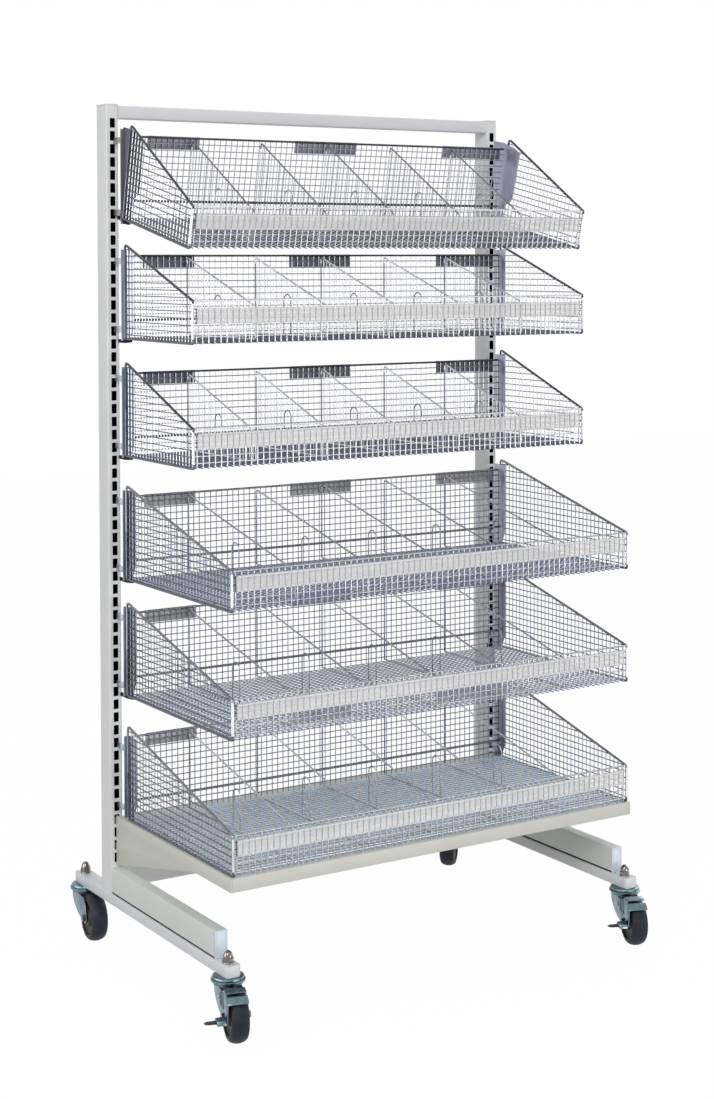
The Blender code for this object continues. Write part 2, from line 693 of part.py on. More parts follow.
def fork(braked):
    """Crown disc with a bore for the kingpin, and two arms that taper to the axle."""
    bottom = CROWN_TOP - CROWN_THICKNESS
    bore = KINGPIN_RADIUS + SWIVEL_FIT
    ring = [(bore, CROWN_TOP), (CROWN_RADIUS, CROWN_TOP), (CROWN_RADIUS, bottom), (bore, bottom)]
    mesh = turned("fork", ring, CROWN_STEPS, True)
    arm_top = CROWN_TOP - CROWN_THICKNESS / 2
    axle_place = (-TRAIL, WHEEL_RADIUS)
    brake_place = (BRAKE_PIVOT_AHEAD - TRAIL, WHEEL_RADIUS + BRAKE_PIVOT_RISE)
    outline = [(FORK_SHOULDER, arm_top), (FORK_SHOULDER, bottom - CROWN_THICKNESS)]
    outline += arc(axle_place, FORK_BOSS_RADIUS, FORK_BOSS_START, FORK_BOSS_STOP, FORK_BOSS_STEPS)
    outline += [(-FORK_NOSE, bottom - CROWN_THICKNESS), (-FORK_SHOULDER, arm_top)]
    axle_hole = circle(axle_place, AXLE_RADIUS + AXLE_FIT, TURN_STEPS)
    brake_hole = circle(brake_place, BRAKE_PIN_RADIUS + AXLE_FIT, TURN_STEPS)
    left_holes = [axle_hole, brake_hole] if braked else [axle_hole]
    for side, holes in ((-1, left_holes), (1, [axle_hole])):
        arm = plate("arm", outline, FORK_SHEET, holes)
        mesh = join(mesh, moved(arm, Matrix.Translation((side * (FORK_OUTSIDE - FORK_SHEET / 2), 0, 0))))
    return flattened(mesh)


def wheel():
    """Tyre and hub turned about the axle, with a bore."""
    tread = WHEEL_WIDTH / 2
    boss = WHEEL_BOSS / 2
    bore = AXLE_RADIUS + AXLE_FIT
    half = [(WHEEL_RADIUS, tread - TYRE_SHOULDER), (WHEEL_RADIUS - TYRE_SHOULDER, tread), (HUB_RADIUS, boss),
            (bore, boss)]
    profile = half + [(radius, -x) for radius, x in reversed(half)]
    return lying(turned("wheel", profile, WHEEL_STEPS, True))


def axle():
    """Bolt through both arms, with a head at one end and a nut at the other."""
    inner = FORK_OUTSIDE + CLEARANCE
    outer = inner + AXLE_HEAD_LENGTH
    profile = [(0, outer), (AXLE_HEAD_RADIUS, outer), (AXLE_HEAD_RADIUS, inner), (AXLE_RADIUS, inner),
               (AXLE_RADIUS, -inner), (AXLE_HEAD_RADIUS, -inner), (AXLE_HEAD_RADIUS, -outer), (0, -outer)]
    return lying(turned("axle", profile, TURN_STEPS))


def brake_lever():
    """A side plate outside the left arm, with a pivot pin, a shoe over the tread and a pedal."""
    reach = WHEEL_RADIUS + SHOE_GAP
    inner = FORK_OUTSIDE + 2 * CLEARANCE
    outer = inner + BRAKE_SHEET
    spread = SHOE_LENGTH / reach / 2
    pedal_front = -BRAKE_PIVOT_AHEAD - PEDAL_BEHIND
    pedal_back = pedal_front - PEDAL_WIDTH
    pedal_top = BRAKE_SHEET - BRAKE_PIVOT_RISE

    def over_tread(radius, part):
        angle = SHOE_RISE + part * spread
        return (-BRAKE_PIVOT_AHEAD - radius * math.cos(angle), radius * math.sin(angle) - BRAKE_PIVOT_RISE)

    shoe_top = [over_tread(reach + BRAKE_SHEET, part) for part in (1, 0, -1)]
    shoe_under = [over_tread(reach, part) for part in (-1, 0, 1)]
    side_line = [(BRAKE_NECK, -BRAKE_NECK), (BRAKE_NECK, BRAKE_NECK / 2), (-BRAKE_NECK, BRAKE_NECK)]
    side_line += shoe_top
    side_line += [(pedal_back, -BRAKE_PIVOT_RISE), (pedal_front, -BRAKE_PIVOT_RISE)]
    side_line.append((pedal_front, -2 * BRAKE_NECK))
    mesh = plate("brake_lever", side_line, BRAKE_SHEET)
    mesh = moved(mesh, Matrix.Translation((-inner - BRAKE_SHEET / 2, 0, 0)))
    shoe_span = inner + WHEEL_WIDTH / 2
    shoe = plate("shoe", shoe_top + shoe_under, shoe_span)
    mesh = join(mesh, moved(shoe, Matrix.Translation((-inner + shoe_span / 2 - BRAKE_SHEET / 2, 0, 0))))
    pedal_low = (-outer - PEDAL_REACH, pedal_back, -BRAKE_PIVOT_RISE)
    mesh = join(mesh, block("pedal", pedal_low, (-inner - BRAKE_SHEET / 2, pedal_front, pedal_top)))
    pin_end = inner - FORK_SHEET
    pin = turned("pin", [(0, 0), (BRAKE_PIN_RADIUS, 0), (BRAKE_PIN_RADIUS, -outer + pin_end),
                         (0, -outer + pin_end)], TURN_STEPS)
    pin = moved(lying(pin), Matrix.Translation((-pin_end, 0, 0)))
    return flattened(join(mesh, pin))


def build_casters(root, steel, rubber, bright, dark):
    pin = kingpin()
    plain_fork = fork(False)
    braked_fork = fork(True)
    lever = brake_lever()
    roller = wheel()
    bolt = axle()
    corners = (
        ("front_left", -UPRIGHT_X, -STEM_AHEAD, HEADING_FRONT_LEFT),
        ("front_right", UPRIGHT_X, -STEM_AHEAD, HEADING_FRONT_RIGHT),
        ("rear_left", -UPRIGHT_X, STEM_BEHIND, HEADING_REAR_LEFT),
        ("rear_right", UPRIGHT_X, STEM_BEHIND, HEADING_REAR_RIGHT),
    )
    for corner, x, y, heading in corners:
        swivel = pivot(corner + "_swivel", root, (x, y, 0), (0, 0, -heading))
        place(corner + "_kingpin", pin, bright, root, (x, y, 0))
        place(corner + "_fork", braked_fork if y < 0 else plain_fork, steel, swivel)
        place(corner + "_wheel", roller, rubber, swivel, (0, -TRAIL, WHEEL_RADIUS))
        place(corner + "_axle", bolt, bright, swivel, (0, -TRAIL, WHEEL_RADIUS))
        if y < 0:
            hinge = (0, BRAKE_PIVOT_AHEAD - TRAIL, WHEEL_RADIUS + BRAKE_PIVOT_RISE)
            place(corner + "_brake_lever", lever, dark, swivel, hinge)


def centre_footprint(root):
    """Moves the unit so that the origin is the middle of its box on the floor."""
    bpy.context.view_layer.update()
    solids = [part for part in UNIT.objects if part.type == "MESH"]
    points = [part.matrix_world @ corner.co for part in solids for corner in part.data.vertices]
    for axis in (0, 1):
        values = [point[axis] for point in points]
        root.location[axis] = -(min(values) + max(values)) / 2
    bpy.context.view_layer.update()


def build():
    clear_scene()
    root = pivot("unit", None, (0, 0, 0))
    ivory = material("ivory_paint", (0.80, 0.79, 0.74), 0.45, 0.0)
    bar_white = material("white_paint", (0.78, 0.78, 0.83), 0.45, 0.0)
    cap_plastic = material("cap_plastic", (0.72, 0.76, 0.82), 0.5, 0.0)
    sheet = material("zinc_sheet", (0.55, 0.55, 0.62), 0.4, 0.9)
    zinc = material("zinc_wire", (0.62, 0.65, 0.70), 0.3, 1.0)
    clear_plastic = material("strip_plastic", (0.78, 0.76, 0.75), 0.35, 0.0)
    steel = material("zinc_fork", (0.52, 0.60, 0.64), 0.35, 1.0)
    bright = material("bright_steel", (0.60, 0.60, 0.62), 0.25, 1.0)
    rubber = material("tyre_rubber", (0.03, 0.03, 0.035), 0.7, 0.0)
    build_frame(root, ivory, bar_white, cap_plastic)
    build_shelf(root, ivory)
    build_baskets(root, zinc, sheet, clear_plastic)
    dark = material("brake_steel", (0.20, 0.21, 0.23), 0.45, 0.8)
    build_casters(root, steel, rubber, bright, dark)
    centre_footprint(root)


build()
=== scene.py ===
"""Looks of the mobile basket storage unit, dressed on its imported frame.

Metres, +Z up, the front towards -Y. Places come from the frame's boxes and joints; sizes that the frame
doesn't hold, such as the wire mesh, are named below.
"""
import json
import math

import bmesh
import bpy
from mathutils import Matrix, Vector


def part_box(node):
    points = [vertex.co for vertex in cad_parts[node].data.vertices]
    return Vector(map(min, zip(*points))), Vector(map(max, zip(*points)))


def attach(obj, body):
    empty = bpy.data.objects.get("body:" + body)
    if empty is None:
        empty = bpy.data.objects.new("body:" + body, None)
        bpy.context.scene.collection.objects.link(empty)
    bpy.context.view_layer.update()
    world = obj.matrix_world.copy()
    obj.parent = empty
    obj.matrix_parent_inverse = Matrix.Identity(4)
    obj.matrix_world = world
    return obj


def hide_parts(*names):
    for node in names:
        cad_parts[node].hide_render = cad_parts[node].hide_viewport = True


# Photograph and camera
IMAGE_HEIGHT = 1099
SENSOR = 36.0
FOCAL_PIXELS = 1956.4
HORIZON_ROW = 329.4
CAMERA_PLACE = Vector((-2.0378, -3.2497, 1.3546))
CAMERA_YAW = math.radians(32.254)
CAMERA_PITCH = math.radians(2.109)
CAMERA_ROLL = math.radians(-0.114)

# Meshes: weld distance, angles that count as smooth, sharp, flat or a hexagon's corner, the share of a run
# that a bend may take (one in BEND_SHARE), and edge radii
WELD = 0.000002
SMOOTH_ANGLE = math.radians(35)
SHARP_ANGLE = math.radians(40)
FLAT_ANGLE = math.radians(0.5)
HEX_ANGLE = math.radians(20)
HEX_SIDES = 6
BEND_SHARE = 2.1
EDGE = 0.0006
THIN_EDGE = 0.0005
TURN_STEPS = 48

# Tubes
TUBE_WALL = 0.0015
TUBE_RADIUS = 0.0022
# The black strip under each leg, painted shadow of the gap between leg and caster bar: its height and inset
GAP_SHADOW_HEIGHT = 0.0026
GAP_SHADOW_INSET = 0.0012
CAP_EDGE = 0.0009
PLUG_EDGE = 0.0018
PLUG_RIM = 0.0045
PLUG_PANEL = 0.0012
BAR_EDGE = 0.0012
SLOT_PITCH = 0.025
SLOT_WIDTH = 0.0104
SLOT_HEIGHT = 0.0185
SLOT_ABOVE_LEG = 0.00975
SLOT_COUNT = 58
SLOT_CORNER = 0.0012

# Basket wires: the middles of the outer ones lie OUTER inside a basket's box, and the fronts down to
# basket LAST_TALL are the tall ones
BASKETS = 6
FRAME_WIRE = 0.005
OUTER = FRAME_WIRE / 2
RAIL_WIRE = 0.0045
FRONT_WIRE = 0.0032
MESH_WIRE = 0.0021
STIFF_WIRE = 0.0052
MESH_PITCH = 0.0125
SIDE_TRIM = 0.005
TILT_TRIM = 0.0135
REAR_TRIM = 0.032
BACK_RISE = 0.163
FRONT_RISE = 0.076
TALL_FRONT_RISE = 0.082
LAST_TALL = 2
STIFFENER_RISE = 0.038
TOP_BEND = 0.010
FRONT_BEND = 0.006
POST_START = 0.8 * FRONT_BEND
FLOOR_BEND = 0.004
TILT = math.radians(12)
TILT_CORNER = 0.0070

# Dividers: those down to basket LAST_FILLED have a fine wire fill
DIVIDERS = 5
LAST_FILLED = 3
DIVIDER_PITCH = 0.152
DIVIDER_SHIFT = -0.009
DIVIDER_WIRE = 0.0032
DIVIDER_FILL_WIRE = 0.0016
DIVIDER_BELOW_RAIL = 0.006
DIVIDER_BELOW_FRONT = 0.014
DIVIDER_BACK_GAP = 0.006
DIVIDER_FLOOR_GAP = 0.0074
DIVIDER_FRONT_GAP = 0.009
LOOP_PLACE = 0.46
LOOP_WIDTH = 0.027
LOOP_RISE = 0.086
LOOP_WIRE = 0.0024

# Plates on the back rail: left and right ends from the basket's middle
BACK_PLATES = ((-0.406, -0.294), (-0.080, 0.065), (0.277, 0.426))
BACK_PLATE_HEIGHT = 0.025
BACK_PLATE_SHEET = 0.0012

# Price strips
STRIP_SHEET = 0.0011
STRIP_LIP = 0.0034
STRIP_BEAD = 0.0022
STRIP_GRIP = 0.0028
STRIP_BACKWARD = 0.9

# Brackets: their plates stand inside the baskets' sides
BRACKET_INSET = 0.0115
BRACKET_SHEET = 0.002
BRACKET_FRONT = 0.065
BRACKET_HEEL = 0.050
BRACKET_HEEL_RISE = 0.030
BRACKET_GAP = 0.0004
BRACKET_REAR = 0.027
RIB_WIDTH = 0.007
RIB_RISE = 0.0014
RIB_EDGE = 0.8 * RIB_RISE
RIB_PLACES = (-0.039, -0.054)
RIB_MARGIN = 0.008
FLANGE_WIDTH = 0.008
FLANGE_SHEET = 0.0015
TAB_HEIGHT = 0.012
TAB_MARGIN = 0.016
ARM_SHEET = 0.004
ARM_OUTLINE = ((0, 0.0006), (0.056, 0.0006), (0.056, -0.004), (0.030, -0.0065), (0, -0.0065))
HOOK_OUTLINE = ((0, 0.024), (0.028, 0.015), (0.050, 0.006), (0.050, -0.002), (0.030, 0.000), (0, 0.011))
FAN_STRETCH = 1.10
FAN_FLANGE_DROP = 0.004
FAN_FOLDS = ((-0.079, 0.075, 0.128), (-0.058, 0.050, 0.130))
FAN_FOLD_WIDTH = 0.004
FAN_HOLES = ((-0.040, 0.064), (-0.050, 0.012))
FAN_HOLE_RADIUS = 0.0032
FAN_HOLE_REACH = 0.01

# Casters: swivel race and nut
TRAIL = 0.055
STUD_RADIUS = 0.006
RACE_TOP = 0.0991
RACE_BOTTOM = 0.0886
RACE_RADIUS = 0.0308
RACE_UPPER = 0.93 * RACE_RADIUS
RACE_ROUND = 0.0026
RACE_CORNER = 0.0008
RACE_LIP = 0.001
RACE_SEAM = (0.0006, -0.0002, -0.0012)
RACE_HEM = (0.0014, 0.0003)
NUT_BOTTOM = 0.1197
NUT_HEIGHT = 0.022
NUT_RADIUS = 0.0105
NUT_SKIRT = 0.010
NUT_FLANGE = 0.0018
NUT_CHAMFER = 0.0012
NUT_OVERLAP = 0.0003
DOME_RADIUS = 0.84 * NUT_RADIUS
DOME_STEP = 10

# Casters: fork and axle, with the fork's outline in front of the axle and behind it
CROWN_TOP = 0.0881
CROWN_RADIUS = 0.027
CROWN_THICKNESS = 0.004
CROWN_EDGE = 0.0012
CROWN_UNDER_EDGE = 0.001
SWIVEL_FIT = 0.0005
FORK_GAP = 0.036
FORK_SHEET = 0.0025
FORK_EDGE = 0.0007
FORK_LEAD = ((0.0235, 0.076), (0.0225, 0.070), (0.0185, 0.0635), (0.011, 0.057), (0.000, 0.050),
             (-0.014, 0.0435), (-0.030, 0.0395))
FORK_WALL_POINTS = 3
FORK_TAIL = [(-0.0645, 0.056), (-0.0600, 0.068), (-0.0530, 0.078)]
FORK_NOSE = 0.045
FORK_BOSS = 0.0104
FORK_BOSS_START = math.radians(-40)
FORK_BOSS_STOP = math.radians(-190)
AXLE_RADIUS = 0.004
AXLE_HOLE = 0.0044
AXLE_CLEARANCE = 0.0003
AXLE_HEAD = 0.0075
AXLE_HEAD_LENGTH = 0.0055
HEX_RADIUS = 0.92 * AXLE_HEAD
HEX_TOP_RADIUS = 0.78 * AXLE_HEAD
HEX_CHAMFER = 0.001
WASHER = 0.001

# Casters: wheel, with the hub's half profile as radius and distance from the middle
WHEEL_RADIUS = 0.046
WHEEL_HALF = 0.0163
WHEEL_STEPS = 64
TYRE_CROWN = 0.026
TYRE_CROWN_HALF = 0.0095
TYRE_SHOULDER = 0.009
TYRE_SHOULDER_PULL = 0.4
RIM_RADIUS = 0.033
RIM_EDGE = 0.001
HUB_HALF = ((RIM_RADIUS + 0.0004, 0.0125), (RIM_RADIUS - 0.003, 0.0132), (RIM_RADIUS - 0.005, 0.0112),
            (0.017, 0.0108), (0.0150, 0.0154), (0.0138, 0.01575), (0.0046, 0.01575))

# Casters: brake, with bands over the tread as two angles and a thickness, ribs as a place and two heights
BRAKE_SHEET = 0.002
BRAKE_GAP = 0.0006
BRAKE_PIVOT = (-0.028, 0.072)
PIVOT_REACH = 0.007
SHOE_GAP = 0.0045
SHOE_RISE = math.radians(60)
SHOE_SPREAD = math.radians(16)
SHOE_BANDS = ((40, 57, 0.0030), (65, 80, 0.0022))
BRAKE_RIBS = ((-0.040, 0.0635, 0.086), (-0.049, 0.0625, 0.090), (-0.058, 0.0615, 0.090))
BRAKE_RIB_RISE = 0.0012
BRAKE_RIB_HALF = 0.0013
BRAKE_RIB_SINK = 0.001
RIVET = ((0, 0), (0.0036, 0), (0.0036, 0.0006), (0.0026, 0.0016), (0, 0.002))
PEDAL_FRONT = -0.069
PEDAL_BACK = -0.089
PEDAL_REACH = 0.038
PEDAL_ROOT = 0.017
PEDAL_ROOT_EDGE = 0.0012
PEDAL_SHEET = 0.0015
PEDAL_EDGE = 0.0004
ROOT_OUTLINE = ((PEDAL_BACK, -0.003), (PEDAL_FRONT, -0.003), (PEDAL_FRONT + 0.003, 0.004),
                (PEDAL_FRONT - 0.004, 0.0075), (PEDAL_BACK + 0.003, 0.005))
LEAF_OUTLINE = ((PEDAL_FRONT - 0.002, PEDAL_ROOT - 0.002), (PEDAL_BACK + 0.002, PEDAL_ROOT - 0.002),
                (PEDAL_BACK + 0.003, PEDAL_REACH - 0.005), (PEDAL_BACK + 0.007, PEDAL_REACH),
                (PEDAL_FRONT - 0.007, PEDAL_REACH), (PEDAL_FRONT - 0.003, PEDAL_REACH - 0.005))
CORNERS = ("front_left", "front_right", "rear_left", "rear_right")

# Finishes
NOISE_SPAN = (0.3, 0.7)
WEAR_SCALE = 1.7
SLICK = (0.16, 0.28)
DULL = (0.24, 0.38)
BUMP_DEPTH = 0.0004

# Floor, world and lamps: each lamp's place, target, width and height, power, and if it is reflected only
FLOOR_SIZE = 16.0
FLOOR_CELLS = 8
FLOOR_GREY = (0.6, 0.6, 0.6, 1)
FLOOR_SHADE = 0.08
FLOOR_WHITE = 1.05
WORLD_TINT = (0.97, 0.98, 1.0, 1)
WORLD_FILL = 0.55
WHITE = (1, 1, 1, 1)
LAMPS = {"key_softbox": ((-3.2, -3.4, 3.4), (0, 0, 0.8), (2.2, 2.2), 104, False),
         "low_fill": ((0.8, -2.4, 0.15), (0, 0, 0.25), (1.6, 0.3), 11, False),
         "left_strip": ((-2.6, 0.3, 0.9), (0, 0.1, 0.9), (2.0, 2.6), 55, True),
         "right_strip": ((2.6, 0.3, 0.9), (0, 0.1, 0.9), (2.0, 2.6), 50, True)}

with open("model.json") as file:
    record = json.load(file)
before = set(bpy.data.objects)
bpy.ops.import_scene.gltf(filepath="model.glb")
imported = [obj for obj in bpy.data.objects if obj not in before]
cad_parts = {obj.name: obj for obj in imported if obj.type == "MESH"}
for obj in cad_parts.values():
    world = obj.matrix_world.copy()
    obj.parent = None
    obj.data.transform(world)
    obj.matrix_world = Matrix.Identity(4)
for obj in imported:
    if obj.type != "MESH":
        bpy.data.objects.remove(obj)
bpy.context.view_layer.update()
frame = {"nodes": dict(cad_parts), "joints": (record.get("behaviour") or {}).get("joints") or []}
joints = {joint["name"]: joint for joint in frame["joints"]}


# Meshes

def linked(name, data):
    """A new object in the scene."""
    item = bpy.data.objects.new(name, data)
    bpy.context.scene.collection.objects.link(item)
    return item


def mesh_from(bm, name):
    """Closes a bmesh into mesh data with its faces turned outwards."""
    bmesh.ops.remove_doubles(bm, verts=bm.verts, dist=WELD)
    bmesh.ops.recalc_face_normals(bm, faces=bm.faces)
    mesh = bpy.data.meshes.new(name)
    bm.to_mesh(mesh)
    bm.free()
    return mesh


def shaded(mesh, angle=SMOOTH_ANGLE):
    """Smooth faces with creases kept sharp."""
    for face in mesh.polygons:
        face.use_smooth = True
    mesh.set_sharp_from_angle(angle=angle)
    return mesh


def evaluated(data, name, modify=None):
    """A curve or mesh as a new mesh, with modifiers applied."""
    helper = linked(name, data)
    if modify:
        modify(helper)
    bpy.context.view_layer.update()
    graph = bpy.context.evaluated_depsgraph_get()
    mesh = bpy.data.meshes.new_from_object(helper.evaluated_get(graph))
    bpy.data.objects.remove(helper, do_unlink=True)
    mesh.name = name
    return mesh


def moved(mesh, matrix):
    """A copy of a mesh, moved."""
    copy = mesh.copy()
    copy.transform(matrix)
    return copy


def shifted(mesh, x):
    """A copy of a mesh, moved along X."""
    return moved(mesh, Matrix.Translation((x, 0, 0)))


def merged(name, meshes):
    """Several meshes as one, each keeping its own material indices."""
    bm = bmesh.new()
    for mesh in meshes:
        bm.from_mesh(mesh)
    mesh = bpy.data.meshes.new(name)
    bm.to_mesh(mesh)
    bm.free()
    return mesh


def rounded(mesh, width, segments=2):
    """A mesh with its sharp edges turned on a small radius."""
    bm = bmesh.new()
    bm.from_mesh(mesh)
    bmesh.ops.remove_doubles(bm, verts=bm.verts, dist=WELD)
    bmesh.ops.dissolve_limit(bm, angle_limit=FLAT_ANGLE, verts=bm.verts, edges=bm.edges)
    paired = [edge for edge in bm.edges if len(edge.link_faces) == 2]
    sharp = [edge for edge in paired if edge.calc_face_angle(0) > SHARP_ANGLE]
    bmesh.ops.bevel(bm, geom=sharp, offset=width, segments=segments, profile=0.5, affect="EDGES",
                    clamp_overlap=True)
    return shaded(mesh_from(bm, mesh.name))


def softened(node, width=EDGE, segments=2):
    """A CAD node's form with its edges turned on a small radius."""
    return rounded(frame["nodes"][node].data, width, segments)


def block(low, high, width=EDGE):
    """A box between two corners, with rounded edges."""
    low = Vector(low)
    high = Vector(high)
    bm = bmesh.new()
    bmesh.ops.create_cube(bm, size=1.0, matrix=Matrix.LocRotScale((low + high) / 2, None, high - low))
    return rounded(mesh_from(bm, "block"), width)


def plate(outline, thickness, width, holes=()):
    """A flat outline in (y, z), of one thickness along X, with rounded edges and round holes."""
    curve = bpy.data.curves.new("plate", "CURVE")
    curve.dimensions = "2D"
    curve.fill_mode = "BOTH"
    curve.extrude = thickness / 2
    for loop in [outline] + list(holes):
        spline = curve.splines.new("POLY")
        spline.points.add(len(loop) - 1)
        spline.use_cyclic_u = True
        for knot, (y, z) in zip(spline.points, loop):
            knot.co = (y, z, 0, 1)
    flat = evaluated(curve, "plate")
    flat.transform(Matrix(((0, 0, 1, 0), (1, 0, 0, 0), (0, 1, 0, 0), (0, 0, 0, 1))))
    return rounded(flat, width)


def arc(centre, radius, start, stop, steps):
    turn = (stop - start) / steps
    angles = [start + turn * i for i in range(steps + 1)]
    return [(centre[0] + radius * math.cos(angle), centre[1] + radius * math.sin(angle)) for angle in angles]


def eased(start, corner, stop, t):
    """A point at a share t of the smooth curve between two ends, drawn towards a corner."""
    return start * (1 - t) ** 2 + corner * 2 * t * (1 - t) + stop * t ** 2


def turned(profile, steps=TURN_STEPS, closed=False):
    """A (radius, height) profile turned about Z."""
    bm = bmesh.new()
    rings = []
    for i in range(steps):
        angle = 2 * math.pi * i / steps
        rings.append([bm.verts.new((r * math.cos(angle), r * math.sin(angle), z)) for r, z in profile])
    count = len(profile)
    for i in range(steps):
        here = rings[i]
        there = rings[(i + 1) % steps]
        for j in range(count if closed else count - 1):
            k = (j + 1) % count
            bm.faces.new((here[j], there[j], there[k], here[k]))
    bmesh.ops.remove_doubles(bm, verts=bm.verts, dist=WELD)
    bmesh.ops.dissolve_degenerate(bm, edges=bm.edges, dist=WELD)
    return shaded(mesh_from(bm, "turned"))


def drum(radius, low, high, steps):
    """A plain cylinder along Z."""
    return turned([(0, low), (radius, low), (radius, high), (0, high)], steps)


def lying(mesh):
    """A turned mesh laid along X."""
    return moved(mesh, Matrix.Rotation(math.radians(90), 4, "Y"))


def bent(points, radius, steps=3):
    """A path whose corners are turned on a radius, or on one radius for each corner."""
    points = [Vector(point) for point in points]
    last = len(points) - 1
    radii = radius if isinstance(radius, tuple) else [radius] * len(points)
    path = [points[0]]
    for i in range(1, last):
        point = points[i]
        back = points[i - 1] - point
        ahead = points[i + 1] - point
        reach = min(radii[i], back.length / BEND_SHARE, ahead.length / BEND_SHARE)
        start = point + back.normalized() * reach
        stop = point + ahead.normalized() * reach
        path += [eased(start, point, stop, step / steps) for step in range(steps + 1)]
    return path + [points[last]]


def wires(name, runs):
    """Round wires as one mesh; each run is its points and its diameter."""
    curve = bpy.data.curves.new(name, "CURVE")
    curve.dimensions = "3D"
    curve.bevel_depth = 1.0
    curve.bevel_resolution = 1
    curve.use_fill_caps = True
    for points, diameter in runs:
        spline = curve.splines.new("POLY")
        spline.points.add(len(points) - 1)
        for knot, point in zip(spline.points, points):
            knot.co = (*point, 1)
            knot.radius = diameter / 2
    return evaluated(curve, name)


# Materials

def shader_node(tree, kind, values=None):
    """A new shader node with some of its sockets set."""
    made = tree.nodes.new("ShaderNode" + kind)
    for socket, value in (values or {}).items():
        made.inputs[socket].default_value = value
    return made


def join(source, output, target, socket):
    """A link between two nodes of one tree."""
    source.id_data.links.new(source.outputs[output], target.inputs[socket])


def finish(name, colours, grain, roughness, metallic=0.0, bump=0.0, bump_grain=900.0, stretch=(1, 1, 1),
           shine=0.5, alpha=1.0):
    """A procedural finish: two mottled colours, roughness that varies and a fine bump."""
    made = bpy.data.materials.new(name)
    made.use_nodes = True
    tree = made.node_tree
    shader = tree.nodes["Principled BSDF"]
    place = shader_node(tree, "TexCoord")
    mapping = shader_node(tree, "Mapping", {"Scale": stretch})
    join(place, "Object", mapping, "Vector")
    mottle = shader_node(tree, "TexNoise", {"Scale": grain})
    worn = shader_node(tree, "TexNoise", {"Scale": grain * WEAR_SCALE, "Detail": 4.0})
    fine = shader_node(tree, "TexNoise", {"Scale": bump_grain, "Detail": 3.0})
    for noise in (mottle, worn, fine):
        join(mapping, "Vector", noise, "Vector")
    ramp = shader_node(tree, "ValToRGB")
    for element, position, colour in zip(ramp.color_ramp.elements, NOISE_SPAN, colours):
        element.position = position
        element.color = (*colour, 1)
    join(mottle, "Color", ramp, "Fac")
    join(ramp, "Color", shader, "Base Color")
    spread = shader_node(tree, "MapRange", {"From Min": NOISE_SPAN[0], "From Max": NOISE_SPAN[1],
                                            "To Min": roughness[0], "To Max": roughness[1]})
    join(worn, "Fac", spread, "Value")
    join(spread, "Result", shader, "Roughness")
    relief = shader_node(tree, "Bump", {"Strength": bump, "Distance": BUMP_DEPTH})
    join(fine, "Fac", relief, "Height")
    join(relief, "Normal", shader, "Normal")
    for socket, value in (("Metallic", metallic), ("Specular IOR Level", shine), ("Alpha", alpha)):
        shader.inputs[socket].default_value = value
    return made


def paint_finish(name, dark, light, roughness=(0.34, 0.48)):
    """Powder coat with a fine grain."""
    return finish(name, (dark, light), 9.0, roughness, bump=0.12)


def wire_finish(name, dark, light, roughness=(0.2, 0.34)):
    """Bright drawn wire."""
    return finish(name, (dark, light), 60.0, roughness, metallic=1.0, bump=0.1, bump_grain=1500.0)


def sheet_finish(name, dark, light):
    """Zinc-plated sheet, streaked along its height."""
    return finish(name, (dark, light), 60.0, (0.34, 0.5), metallic=0.9, bump=0.05, stretch=(1, 1, 0.2))


ivory = paint_finish("ivory_powder_coat", (0.76, 0.766, 0.755), (0.795, 0.801, 0.79))
# A cooler copy of the ivory paint for the top beam, tinted for the light on it: painted light
lit_beam_paint = paint_finish("grey_powder_coat", (0.745, 0.74, 0.765), (0.785, 0.78, 0.805), (0.36, 0.5))
bar_paint = paint_finish("white_powder_coat", (0.73, 0.745, 0.76), (0.77, 0.785, 0.80))
# A darker, greener copy of the ivory paint for the legs, as painted shade
shaded_leg_paint = paint_finish("leg_powder_coat", (0.695, 0.735, 0.695), (0.73, 0.77, 0.73))
# A darker, warmer copy of the ivory paint for the base shelf and its arms, as painted shade
shaded_shelf_paint = paint_finish("shelf_powder_coat", (0.62, 0.615, 0.56), (0.66, 0.655, 0.60), (0.4, 0.55))
# The tubes' bare insides and the slots' cut walls: bare steel painted near black, as shade inside the tubes
bare_shaded_steel = finish("bare_tube_inside", ((0.004, 0.004, 0.004), (0.010, 0.009, 0.009)), 40.0, (0.7, 0.85),
                    bump=0.2, shine=0.05)
cap_plastic = finish("moulded_cap_plastic", ((0.66, 0.74, 0.81), (0.70, 0.78, 0.85)), 30.0, (0.38, 0.52),
                     bump=0.1, bump_grain=1600.0)
# A lighter copy of the cap plastic for the plugs' raised panels, as painted highlight
cap_panel_highlight = finish("bright_cap_panel", ((0.73, 0.82, 0.89), (0.77, 0.86, 0.93)), 30.0, (0.3, 0.42),
                       bump=0.08, bump_grain=1600.0)
# A lighter, less metallic copy of the back plates' zinc, as painted light
lit_plate_zinc = finish("dull_zinc_plate", ((0.46, 0.46, 0.485), (0.54, 0.54, 0.565)), 80.0, (0.4, 0.55),
                    metallic=0.3, bump=0.05)
fork_zinc = finish("blue_passivated_zinc", ((0.10, 0.155, 0.18), (0.20, 0.275, 0.31)), 90.0, (0.22, 0.38),
                   metallic=1.0, bump=0.08, stretch=(1, 1, 0.25))
chrome = finish("bright_nickel", ((0.15, 0.145, 0.14), (0.25, 0.24, 0.235)), 120.0, (0.12, 0.22),
                metallic=1.0, bump=0.03)
dark_steel = finish("dark_brake_steel", ((0.04, 0.04, 0.04), (0.08, 0.075, 0.07)), 140.0, (0.35, 0.55),
                    metallic=0.7, bump=0.15)
